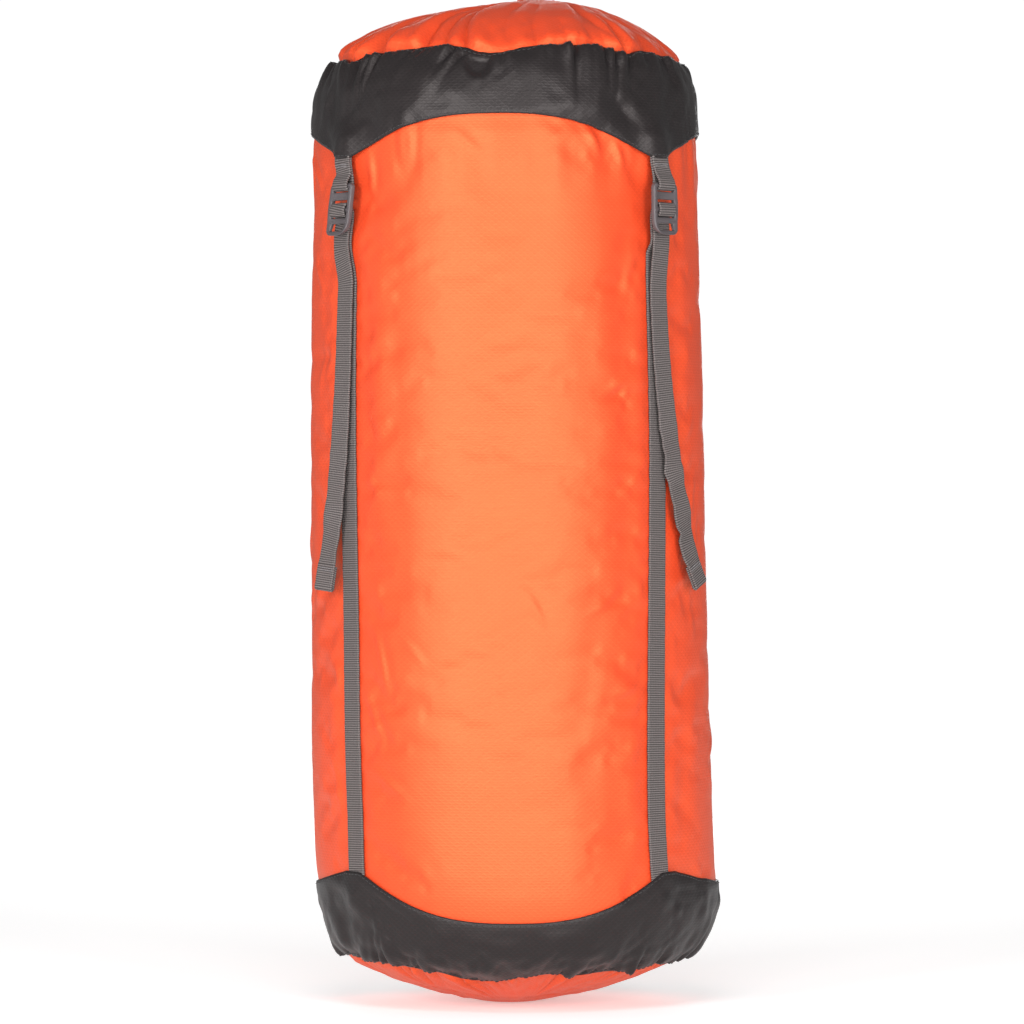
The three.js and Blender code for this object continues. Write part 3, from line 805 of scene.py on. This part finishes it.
def lock_loop(side):
    """Webbing that comes up behind the ladder lock, over its grip bar and back down behind it."""
    heights = np.linspace(SPLIT_HIGH_Z - 1 * MM, BUCKLE_LOW_Z - 12 * MM, 9)
    low, _ = on_skin(lambda z: strap_angle_at(side, z), heights, np.full(9, STRAP_OFFSET))
    standing_r = BUCKLE_BACK_R - 2 * WEB - 1.0 * MM
    upper = in_station(side, [
        (standing_r + WEB / 2, BUCKLE_LOW_Z - 4 * MM), (standing_r + WEB / 2, BUCKLE_LOW_Z + 4 * MM),
        (standing_r + WEB / 2, SLOT_OUT_Z - 1 * MM), (standing_r + WEB, SLOT_IN_Z - 4 * MM),
        (PIN_R - 1.6 * MM, SLOT_IN_Z - 0.6 * MM), (PIN_R + 1.2 * MM, SLOT_IN_Z + 0.1 * MM),
        (PIN_R + GRIP_OFF, SLOT_IN_Z - 1.9 * MM),
        (PIN_R + GRIP_OFF + 0.25 * MM, (SLOT_IN_Z + SLOT_OUT_Z) / 2),
        (PIN_R + GRIP_OFF, SLOT_OUT_Z + 1.9 * MM), (PIN_R + 1.2 * MM, SLOT_OUT_Z - 0.1 * MM),
        (PIN_R - 1.4 * MM, SLOT_OUT_Z - 0.3 * MM), (TAIL_R, SLOT_OUT_Z - 3 * MM),
        (TAIL_R, BUCKLE_LOW_Z + 3 * MM),
    ])
    path = smooth_path(swung(side, np.concatenate([low, upper])), 150)
    forward = unit(np.gradient(path, axis=0))
    outs = np.cross(forward, -tangent(STATIONS[side]))
    return webbing("lock_loop_" + side, path, outs)


def tail_path(side):
    """The loose tail: down from the ladder lock, drifting sideways more and more."""
    feed = Vector(joints["feed_" + side]["axis"])
    angle = STATIONS[side]
    end_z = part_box("strap_end_" + side)[1].z
    top_z = BUCKLE_LOW_Z + 4 * MM
    drop = top_z - end_z
    drift = -feed.dot(Vector(tangent(angle))) / feed.z * drop
    share = np.linspace(0, 1, 40)
    z = top_z - drop * share
    sideways = drift * share**2.6

    def angle_at(height):
        return angle + float(np.interp(height, z[::-1], sideways[::-1])) / RADIUS

    surface, normal = on_skin(angle_at, z, 0 * z)
    lift = 2 * WEB + 0.5 * MM + 3.4 * MM * share**2
    hanging = surface + normal * lift[:, None]
    start = TAIL_R * radial(angle)[None, :] + np.stack([0 * z, 0 * z, z], -1)
    join = step(share, 0.02, 0.22)[:, None]
    return swung(side, start * (1 - join) + hanging * join), normal


def tail_end(side, path, normal):
    """The tail's last centimetre and a half, folded over and sewn down with two bars of stitches."""
    direction = unit(path[-1] - path[-3])
    start = path[-1] - direction * 1 * MM
    out = normal[-1]
    length = 15 * MM
    outer = [start + direction * length * t + out * (0.1 * MM) for t in (0, 0.2, 0.4, 0.6, 0.8, 0.97)]
    turn = [start + direction * (length + 0.5 * MM) + out * (-0.6 * MM),
            start + direction * (length - 0.4 * MM) + out * (-1.45 * MM)]
    inner = [start + direction * length * t + out * (-1.5 * MM) for t in (0.8, 0.6, 0.4, 0.2, 0.05)]
    line = smooth_path(np.array(outer + turn + inner), 60)
    forward = unit(np.gradient(line, axis=0))
    across = unit(np.cross(direction, out))
    folded = webbing("tail_fold_" + side, line, np.cross(across, forward))
    surface = out * (WEB / 2 + 0.2 * MM)
    bars = []
    for t in (0.14, 0.24):
        middle = start + direction * length * t + surface
        ends = np.array([middle - across * 6.3 * MM, middle + across * 6.3 * MM])
        bars.append((ends, np.array([out, out])))
    sewing = stitch_rows("tail_fold_sewing_" + side, bars, 1.6 * MM, 1.4 * MM, 0.3 * MM)
    return folded, sewing


def lid_tab(side):
    """Doubled webbing from under the skirt's point, looped round the ladder lock's pin."""
    angle = STATIONS[side]
    heights = np.array([SKIRT_TIP_Z + 7 * MM, SKIRT_TIP_Z + 3 * MM, SKIRT_TIP_Z - 2 * MM])
    hidden, _ = on_skin(lambda z: angle, heights, np.array([1.6, 2.2, 2.8]) * MM)
    loop = BUCKLE_THICK / 2 + WEB / 2 + 0.25 * MM
    turn = [(PIN_R - loop * math.cos(t), PIN.z - loop * math.sin(t)) for t in np.linspace(0, math.pi, 9)]
    back = in_station(side, [(PIN_R - loop * 0.95, PIN.z + 3 * MM)])
    around = in_station(side, turn)
    front = in_station(side, [(PIN_R + loop * 0.75, PIN.z + 3 * MM), (PIN_R - 0.2 * MM, PIN.z + 6.6 * MM)])
    outer = hidden[:0:-1] + radial(angle) * (WEB + 0.05 * MM)
    line = smooth_path(np.concatenate([hidden, back, around, front, outer]), 110)
    forward = unit(np.gradient(line, axis=0))
    tab = webbing("tab_" + side, line, np.cross(forward, tangent(angle)))
    rows = []
    for drop in (1.8 * MM, 3.1 * MM):  # two bars of stitches
        middle = (hidden[2] + radial(angle) * (WEB * 1.5 + 0.35 * MM)) - np.array([0, 0, drop])
        ends = np.array([middle - tangent(angle) * 6.2 * MM, middle + tangent(angle) * 6.2 * MM])
        rows.append((ends, np.array([radial(angle)] * 2)))
    sewing = stitch_rows("tab_sewing_" + side, rows, 1.5 * MM, 1.3 * MM, 0.3 * MM)
    return tab, sewing


# Ladder locks
def rounded(corners, radius, count=6):
    """A closed outline with its corners rounded."""
    corners = [Vector(corner) for corner in corners]
    points = []
    for i, corner in enumerate(corners):
        before = (corners[i - 1] - corner).normalized()
        after = (corners[(i + 1) % len(corners)] - corner).normalized()
        r = radius[i] if isinstance(radius, (list, tuple)) else radius
        for t in np.linspace(0, 1, count):
            points.append(corner + before * r * (1 - t) ** 2 + after * r * t**2)
    return points


def flat_plate(name, outlines, thickness, bevel):
    """A plate with holes and softened edges, cut into strips so that it can be bent."""
    data = bpy.data.curves.new(name, "CURVE")
    data.dimensions = "2D"
    data.fill_mode = "BOTH"
    data.extrude = thickness / 2 - bevel
    data.bevel_depth = bevel
    data.bevel_resolution = 2
    data.offset = -bevel
    for outline in outlines:
        spline = data.splines.new("POLY")
        spline.points.add(len(outline) - 1)
        spline.use_cyclic_u = True
        for point, place in zip(spline.points, outline):
            point.co = (place[0], place[1], 0, 1)
    holder = bpy.data.objects.new(name, data)
    bpy.context.scene.collection.objects.link(holder)
    evaluated = holder.evaluated_get(bpy.context.evaluated_depsgraph_get())
    mesh = bpy.data.meshes.new_from_object(evaluated)
    bpy.data.objects.remove(holder)
    build = bmesh.new()
    build.from_mesh(mesh)
    for height in np.arange(-BUCKLE_HEIGHT, 0, 1.6 * MM):
        everything = build.verts[:] + build.edges[:] + build.faces[:]
        bmesh.ops.bisect_plane(build, geom=everything, plane_co=(0, height, 0), plane_no=(0, 1, 0))
    bmesh.ops.remove_doubles(build, verts=build.verts[:], dist=0.01 * MM)
    build.to_mesh(mesh)
    build.free()
    return mesh


def lock_outlines():
    half, deep = BUCKLE_WIDTH / 2, BUCKLE_HEIGHT
    frame_corners = [
        (-half + 0.6 * MM, 0), (half - 0.6 * MM, 0), (half, -deep * 0.55),
        (half - 1.2 * MM, -deep), (-half + 1.2 * MM, -deep), (-half, -deep * 0.55),
    ]
    outlines = [rounded(frame_corners, [3.5 * MM, 3.5 * MM, 6 * MM, 7 * MM, 7 * MM, 6 * MM])]
    inside = WEB_WIDTH / 2 + 0.6 * MM
    for high, low, reach in [(3.2, 5.4, 1), (10.2, 13.8, 1), (18.4, 20.9, 1), (24.4, 28.8, 0.85)]:
        corners = [(-inside * reach, -high * MM), (inside * reach, -high * MM),
                   (inside * reach, -low * MM), (-inside * reach, -low * MM)]
        outlines.append(rounded(corners, 1.1 * MM, 4))
    return outlines


def ladder_lock(side):
    mesh = flat_plate("lock_" + side, lock_outlines(), BUCKLE_THICK, 0.75 * MM)
    angle = STATIONS[side]
    out, along = radial(angle), tangent(angle)
    for vertex in mesh.vertices:
        across, up, depth = vertex.co
        lip = max(0.0, -up - (BUCKLE_HEIGHT - 9 * MM))
        grip = bell(up + 16.1 * MM, 2.6 * MM)
        inner = 1 - float(step(abs(across), WEB_WIDTH / 2 - 0.4 * MM, WEB_WIDTH / 2 + 1.4 * MM))
        depth = depth * (1 - 0.28 * inner) + lip**2 / (30 * MM) - 0.25 * MM * grip * inner
        depth = depth + 0.35 * MM * (1 - inner) * bell(up + BUCKLE_HEIGHT / 2, 11 * MM)
        height = BUCKLE_TOP_Z + up
        askew = (PIN.z - height) * math.tan(math.radians(SWING[side]))
        place = out * (PIN_R + depth) + along * (across + askew)
        vertex.co = (place[0], place[1], height)
    return new_object("lock_" + side, mesh)


# Drawcord
CORD_R = 1.5 * MM
CORD_OPENING = 0.17  # half the angle of the channel's front opening, between the two cord ends


def channel():
    """The tube's rolled rim, gathered along the drawcord, with an opening in front."""
    opening = 0.2
    angle = np.linspace(-math.pi / 2 + opening, 1.5 * math.pi - opening, 260)
    sides = 24
    ring = np.linspace(0, TAU, sides, endpoint=False)
    pleat = noise(angle, 0 * angle, 70, 1, 91) + 0.5 * noise(angle, 0 * angle, 150, 1, 92)
    end = bell(turned(angle + math.pi / 2), opening + 0.05)
    girth = CHANNEL_R * (1.0 + 0.16 * pleat - 0.15 * end)
    grid_angle = angle[:, None] + 0.012 * np.sin(3 * ring)[None, :]
    r = MOUTH_R + girth[:, None] * np.cos(ring)[None, :]
    z = MOUTH_Z + girth[:, None] * np.sin(ring)[None, :] * 1.05
    points = np.stack([r * np.cos(grid_angle), r * np.sin(grid_angle), z], -1)
    around = np.linspace(0, TAU, sides + 1) * CHANNEL_R
    uv = np.stack(np.broadcast_arrays(around[None, :], angle[:, None] * MOUTH_R), -1)
    piece = grid_mesh("channel_cloth", points, True, uv)
    thicken(piece, 0.7 * MM)
    return piece


def ring_cord():
    angle = np.linspace(-math.pi / 2 + CORD_OPENING, 1.5 * math.pi - CORD_OPENING, 90)
    path = np.stack([MOUTH_R * np.cos(angle), MOUTH_R * np.sin(angle), 0 * angle + MOUTH_Z], -1)
    return tube_of("drawcord_ring", path, CORD_R, 12)


def cord_path(sign):
    """One free end of the drawcord: out of the channel, through the cord lock, into the cord end."""
    side = 1.7 * MM
    bend_y, run_y = -41 * MM, -47 * MM  # where the cord turns out of the ring, and where it runs straight
    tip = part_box("cord_end")[1].y - 3 * MM
    return smooth_path([
        (sign * MOUTH_R * math.sin(CORD_OPENING), -MOUTH_R * math.cos(CORD_OPENING), MOUTH_Z),
        (sign * side * 1.6, bend_y, MOUTH_Z - 0.6 * MM), (sign * side, run_y, CORD_Z + 0.5 * MM),
        (sign * side, LOCK_CENTRE.y, CORD_Z), (sign * side, (LOCK_CENTRE.y + tip) / 2, CORD_Z),
        (sign * side, tip, CORD_Z),
    ], 30)


def cord_bell():
    """The moulded bell on the cord's end, with a lip and finger grooves."""
    low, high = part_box("cord_end")
    length = high.y - low.y
    outline = np.array([
        (0.0, 0.3), (0.02, 0.52), (0.06, 0.57), (0.2, 0.88), (0.24, 0.96), (0.3, 0.93), (0.36, 0.97),
        (0.42, 0.92), (0.48, 0.96), (0.54, 0.9), (0.62, 0.93), (0.8, 1.0), (0.93, 0.99), (0.99, 0.9),
        (1.0, 0.62), (1.0, 0.0),
    ])
    t = outline[:, 0]
    r = outline[:, 1] * 4.5 * MM
    ring = np.linspace(0, TAU, 32, endpoint=False)
    points = np.stack(np.broadcast_arrays(
        r[:, None] * np.cos(ring)[None, :], (high.y - t * length)[:, None],
        CORD_Z + r[:, None] * np.sin(ring)[None, :]), -1)
    uv = np.zeros((len(t), 33, 2))
    return grid_mesh("cord_bell", points, True, uv)


# Materials
class Nodes:
    """A material with short calls for adding nodes and links."""

    def __init__(self, name):
        self.material = bpy.data.materials.new(name)
        self.material.use_nodes = True
        self.tree = self.material.node_tree
        self.shader = self.tree.nodes["Principled BSDF"]

    def add(self, kind, **settings):
        node = self.tree.nodes.new(kind)
        for key, value in settings.items():
            setattr(node, key, value)
        return node

    def link(self, source, target):
        self.tree.links.new(source, target)

    def math(self, operation, a, b):
        node = self.add("ShaderNodeMath", operation=operation)
        for socket, value in zip(node.inputs, (a, b)):
            if isinstance(value, (int, float)):
                socket.default_value = value
            else:
                self.link(value, socket)
        return node.outputs[0]

    def wave(self, vector, spacing, turn=0.0):
        """Parallel bands of one spacing, turned in the plane of the cloth."""
        mapping = self.add("ShaderNodeMapping")
        mapping.inputs["Rotation"].default_value = (0, 0, turn)
        self.link(vector, mapping.inputs["Vector"])
        bands = self.add("ShaderNodeTexWave", wave_type="BANDS", bands_direction="X")
        bands.inputs["Scale"].default_value = TAU / 20 / spacing
        self.link(mapping.outputs[0], bands.inputs["Vector"])
        return bands.outputs["Fac"]

    def noise(self, vector, size, detail):
        node = self.add("ShaderNodeTexNoise")
        node.inputs["Scale"].default_value = 1 / size
        node.inputs["Detail"].default_value = detail
        self.link(vector, node.inputs["Vector"])
        return node.outputs["Fac"]

    def mix(self, share, dark, light):
        ramp = self.add("ShaderNodeMix", data_type="RGBA")
        self.link(share, ramp.inputs["Factor"])
        ramp.inputs[6].default_value = (*dark, 1)
        ramp.inputs[7].default_value = (*light, 1)
        return ramp.outputs[2]

    def bump(self, height, distance, strength=1.0, below=None):
        node = self.add("ShaderNodeBump")
        node.inputs["Strength"].default_value = strength
        node.inputs["Distance"].default_value = distance
        self.link(height, node.inputs["Height"])
        if below is not None:
            self.link(below, node.inputs["Normal"])
        return node.outputs["Normal"]

    def finish(self, colour, roughness, normal, **uniform):
        self.link(colour, self.shader.inputs["Base Color"])
        self.link(roughness, self.shader.inputs["Roughness"])
        self.link(normal, self.shader.inputs["Normal"])
        for name, value in uniform.items():
            self.shader.inputs[name.replace("_", " ")].default_value = value
        return self.material

    def uv(self):
        return self.add("ShaderNodeUVMap", uv_map="UVMap").outputs[0]

    def solid(self):
        return self.add("ShaderNodeTexCoord").outputs["Object"]

    def sum(self, a, share_a, b, share_b):
        """Two patterns added, each with its own weight."""
        return self.math("ADD", self.math("MULTIPLY", a, share_a), self.math("MULTIPLY", b, share_b))

    def around(self, pattern, spread, middle):
        """A pattern scaled and moved to lie about a value."""
        return self.math("ADD", self.math("MULTIPLY", pattern, spread), middle)


def ripstop(name, dark, light, roughness, specular, tint, crumple):
    """Coated ripstop nylon: fine ribs, a small diamond grid of thicker threads, and soft mottling."""
    cloth = Nodes(name)
    uv = cloth.uv()
    solid = cloth.solid()
    ribs = cloth.wave(uv, 1.7 * MM, math.pi / 2)
    first = cloth.wave(uv, 2.7 * MM, math.radians(52))
    second = cloth.wave(uv, 2.7 * MM, math.radians(-52))
    grid = cloth.math("MAXIMUM", cloth.math("POWER", first, 7), cloth.math("POWER", second, 7))
    mottle = cloth.noise(solid, 35 * MM, 4)
    fine = cloth.noise(solid, 1.3 * MM, 2)
    weave = cloth.sum(ribs, 0.45, grid, 0.7)
    shade = cloth.sum(mottle, 0.5, weave, 0.45)
    colour = cloth.mix(shade, dark, light)
    rough = cloth.around(fine, 0.16, roughness - 0.08)
    crease = cloth.bump(cloth.noise(solid, 16 * MM, 3), crumple, 0.5)
    normal = cloth.bump(weave, 0.11 * MM, 0.55, crease)
    return cloth.finish(colour, rough, normal, Specular_IOR_Level=specular, Specular_Tint=(*tint, 1))


def woven_webbing(name, dark, light):
    """Ribbed polypropylene webbing: cross ribs and lengthwise cords."""
    cloth = Nodes(name)
    uv = cloth.uv()
    solid = cloth.solid()
    ribs = cloth.wave(uv, 1.35 * MM, math.pi / 2)
    cords = cloth.wave(uv, 1.5 * MM)
    fuzz = cloth.noise(solid, 0.9 * MM, 3)
    weave = cloth.sum(ribs, 0.85, cords, 0.15)
    shade = cloth.sum(weave, 0.85, fuzz, 0.15)
    rough = cloth.around(fuzz, 0.15, 0.68)
    normal = cloth.bump(weave, 0.25 * MM, 0.8)
    return cloth.finish(cloth.mix(shade, dark, light), rough, normal, Specular_IOR_Level=0.1)


def moulded(name, dark, light, roughness):
    """Moulded nylon: fine spark-eroded grain and slightly lighter worn patches."""
    plastic = Nodes(name)
    solid = plastic.solid()
    grain = plastic.noise(solid, 0.35 * MM, 2)
    wear = plastic.noise(solid, 6 * MM, 4)
    rough = plastic.around(wear, 0.18, roughness - 0.09)
    normal = plastic.bump(grain, 0.03 * MM, 0.6)
    return plastic.finish(plastic.mix(wear, dark, light), rough, normal, Specular_IOR_Level=0.3)


def thread(name, dark, light):
    twist = Nodes(name)
    solid = twist.solid()
    fibre = twist.noise(solid, 0.5 * MM, 2)
    rough = twist.around(fibre, 0.1, 0.6)
    return twist.finish(twist.mix(fibre, dark, light), rough, twist.bump(fibre, 0.05 * MM), Sheen_Weight=0.1)


def braid(name, dark, light):
    """Braided cord: two crossing sets of diagonal strands."""
    cord = Nodes(name)
    uv = cord.uv()
    left = cord.wave(uv, 1.1 * MM, math.radians(40))
    right = cord.wave(uv, 1.1 * MM, math.radians(-40))
    strands = cord.math("MAXIMUM", left, right)
    rough = cord.around(strands, 0.1, 0.68)
    normal = cord.bump(strands, 0.3 * MM, 0.8)
    return cord.finish(cord.mix(strands, dark, light), rough, normal, Sheen_Weight=0.15)


def spring_wire(name):
    wire = Nodes(name)
    solid = wire.solid()
    drawn = wire.noise(solid, 0.4 * MM, 2)
    rough = wire.around(drawn, 0.12, 0.24)
    return wire.finish(wire.mix(drawn, (0.45, 0.45, 0.47), (0.62, 0.62, 0.64)), rough,
                       wire.bump(drawn, 0.01 * MM), Metallic=1.0)


ORANGE = ripstop("orange_ripstop", (0.5, 0.032, 0.009), (0.66, 0.054, 0.015), 0.5, 0.85,
                 (0.9, 0.76, 0.32), 0.35 * MM)
CHARCOAL = ripstop("charcoal_nylon", (0.0085, 0.007, 0.0072), (0.017, 0.0138, 0.0142), 0.42, 0.27,
                   (1.0, 0.92, 0.9), 0.6 * MM)
WEBBING = woven_webbing("grey_webbing", (0.015, 0.0128, 0.013), (0.175, 0.152, 0.147))
PLASTIC = moulded("grey_nylon", (0.055, 0.047, 0.05), (0.085, 0.073, 0.077), 0.4)
THREAD_DARK = thread("charcoal_thread", (0.008, 0.007, 0.0075), (0.02, 0.018, 0.019))
THREAD_GREY = thread("grey_thread", (0.1, 0.09, 0.094), (0.2, 0.18, 0.185))
CORD = braid("drawcord_braid", (0.03, 0.028, 0.03), (0.09, 0.085, 0.09))
STEEL = spring_wire("spring_steel")


def coat(piece, material):
    piece.data.materials.clear()
    piece.data.materials.append(material)


def place(piece, material, slot, body=None, node=None):
    """Gives a piece its material, and the body and CAD node it has, if any. The slot is not used."""
    coat(piece, material)
    if body:
        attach(piece, body)
    if node:
        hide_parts(node)
    return piece


# Camera, floor and light
def camera():
    data = bpy.data.cameras.new("camera")
    piece = bpy.data.objects.new("camera", data)
    bpy.context.scene.collection.objects.link(piece)
    distance = 3.5
    width = 1.024 * HEIGHT
    turn = math.radians(2)
    data.sensor_width = 36
    data.lens = 36 * distance / width
    aim = Vector((2.5 * MM * math.cos(turn), 2.5 * MM * math.sin(turn), 0.489 * HEIGHT))
    back = Vector((math.sin(turn), -math.cos(turn), 0))
    piece.location = aim + back * distance
    piece.rotation_euler = (math.pi / 2, 0, turn)
    bpy.context.scene.camera = piece


def area_light(name, location, size, power):
    data = bpy.data.lights.new(name, "AREA")
    data.shape = "RECTANGLE"
    data.size, data.size_y = size
    data.energy = power
    lamp = bpy.data.objects.new(name, data)
    lamp.location = location
    target = Vector((0, 0, 0.5 * HEIGHT))
    lamp.rotation_euler = (target - lamp.location).to_track_quat("-Z", "Y").to_euler()
    bpy.context.scene.collection.objects.link(lamp)


def studio():
    """Soft lights all round. What the camera sees behind the sack is whiter than the light it gives."""
    world = bpy.data.worlds.new("studio")
    world.use_nodes = True
    nodes, links = world.node_tree.nodes, world.node_tree.links
    light, backdrop = nodes["Background"], nodes.new("ShaderNodeBackground")
    light.inputs["Color"].default_value = (1, 1, 1, 1)
    light.inputs["Strength"].default_value = 0.26
    backdrop.inputs["Color"].default_value = (1, 1, 1, 1)
    backdrop.inputs["Strength"].default_value = 1.03
    seen, either = nodes.new("ShaderNodeLightPath"), nodes.new("ShaderNodeMixShader")
    links.new(seen.outputs["Is Camera Ray"], either.inputs["Fac"])
    links.new(light.outputs[0], either.inputs[1])
    links.new(backdrop.outputs[0], either.inputs[2])
    links.new(either.outputs[0], nodes["World Output"].inputs["Surface"])
    bpy.context.scene.world = world
    bpy.context.scene.view_settings.view_transform = "Standard"
    for name, location, size, power in [
        ("key_left", (-1.6, -2.4, 0.68), (1.0, 1.5), 62), ("key_right", (1.5, -2.45, 0.68), (1.0, 1.5), 53),
        ("low", (0, -2.2, 0.2), (1.4, 0.36), 26), ("high", (0, -1.6, 1.7), (0.8, 0.5), 12),
        ("right", (2.8, 0.3, 0.8), (1.2, 1.6), 2.5), ("left", (-2.8, 0.3, 0.8), (1.2, 1.6), 5),
        ("back", (0, 2.9, 0.9), (1.2, 1.6), 34),
    ]:
        area_light(name, location, size, power)


def floor():
    """A pale disc inside the ring of lights. It gives off a little light, so that it stays pale."""
    mesh = bpy.data.meshes.new("floor")
    radius = 2.1
    rim = [(radius * math.cos(t), radius * math.sin(t), 0) for t in np.linspace(0, TAU, 96, endpoint=False)]
    mesh.from_pydata(rim, [], [range(len(rim))])
    disc = new_object("floor", mesh)
    paper = Nodes("paper")
    solid = paper.solid()
    grain = paper.noise(solid, 2 * MM, 2)
    rough = paper.around(grain, 0.05, 0.85)
    paper.finish(paper.mix(grain, (0.88, 0.88, 0.88), (0.9, 0.9, 0.9)), rough, paper.bump(grain, 0.02 * MM),
                 Specular_IOR_Level=0.1, Emission_Color=(1, 1, 1, 1), Emission_Strength=0.34)
    coat(disc, paper.material)


def blend_with_mouth(piece):
    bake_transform(piece)


camera()
studio()
floor()

# Drawcord first: the bell on its end, its ring, and its two free ends
bell_piece = place(cord_bell(), PLASTIC, "buckle_plastic", "mouth", "cord_end")
place(ring_cord(), CORD, "cord", "mouth")
for cord_name, sign in (("drawcord_left", -1), ("drawcord_right", 1)):
    route = cord_path(sign)
    cord_piece = place(tube_of(cord_name, route, CORD_R, 12), CORD, "cord", "mouth", "drawcord")
    tuple(route[0])
    [tuple(point) for point in route]

channel_piece = place(channel(), CHARCOAL, "trim_fabric", "mouth", "drawcord_channel")

# Loose tails, with their sewn ends
for side in SIDES:
    route, route_normal = tail_path(side)
    tail = place(webbing("tail_" + side, route, route_normal), WEBBING, "webbing", None, "strap_tail_" + side)
    folded, sewing = tail_end(side, route, route_normal)
    place(folded, WEBBING, "webbing", "strap_end_" + side, "strap_end_" + side)
    place(sewing, THREAD_GREY, "webbing", "strap_end_" + side)
    tuple(route[4])
    tuple(route[-6])
    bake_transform(tail)
    tuple(route[0])
    [tuple(point) for point in route]

# Fabric
tube_piece = place(tube(), ORANGE, "shell_fabric", None, "tube")
blend_with_mouth(tube_piece)
blend_with_mouth(place(back_seam(), ORANGE, "shell_fabric", None, "tube"))
panel_piece = place(base_panel(), ORANGE, "shell_fabric", "sack", "base_panel")
band_piece = place(base_band(), CHARCOAL, "trim_fabric", "sack", "base_band")
declare_trim(seam_low, band_edge)
place(band_stitching(), THREAD_DARK, "trim_fabric", "sack")
skirt_piece = place(lid_skirt(), CHARCOAL, "trim_fabric", "lid", "lid_skirt")
declare_trim(skirt_edge, seam_high)
place(skirt_stitching(), THREAD_DARK, "trim_fabric", "lid")
crown_piece = place(lid_crown(), ORANGE, "shell_fabric", "lid", "lid_crown")

# Straps and ladder locks
for side in SIDES:
    lower = standing_strap(side, "strap_low_" + side, BAND_TIP_Z - 9 * MM, SPLIT_LOW_Z, 90)
    blend_with_mouth(place(lower, WEBBING, "webbing", None, "strap_" + side))
    upper = standing_strap(side, "strap_high_" + side, SPLIT_LOW_Z - 0.5 * MM, SPLIT_HIGH_Z, 40)
    place(upper, WEBBING, "webbing", None, "strap_" + side)
    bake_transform(upper)
    loop = place(lock_loop(side), WEBBING, "webbing", None, "strap_wrap_" + side)
    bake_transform(loop)
    tab, tab_sewing = lid_tab(side)
    place(tab, WEBBING, "webbing", "lid", "lid_tab_" + side)
    place(tab_sewing, THREAD_GREY, "webbing", "lid")
    place(ladder_lock(side), PLASTIC, "buckle_plastic", "ladder_lock_" + side, "ladder_lock_" + side)

for node in ("cord_lock_cup", "cord_lock_button"):
    coat(frame["nodes"][node], PLASTIC)
coat(frame["nodes"]["cord_lock_spring"], STEEL)
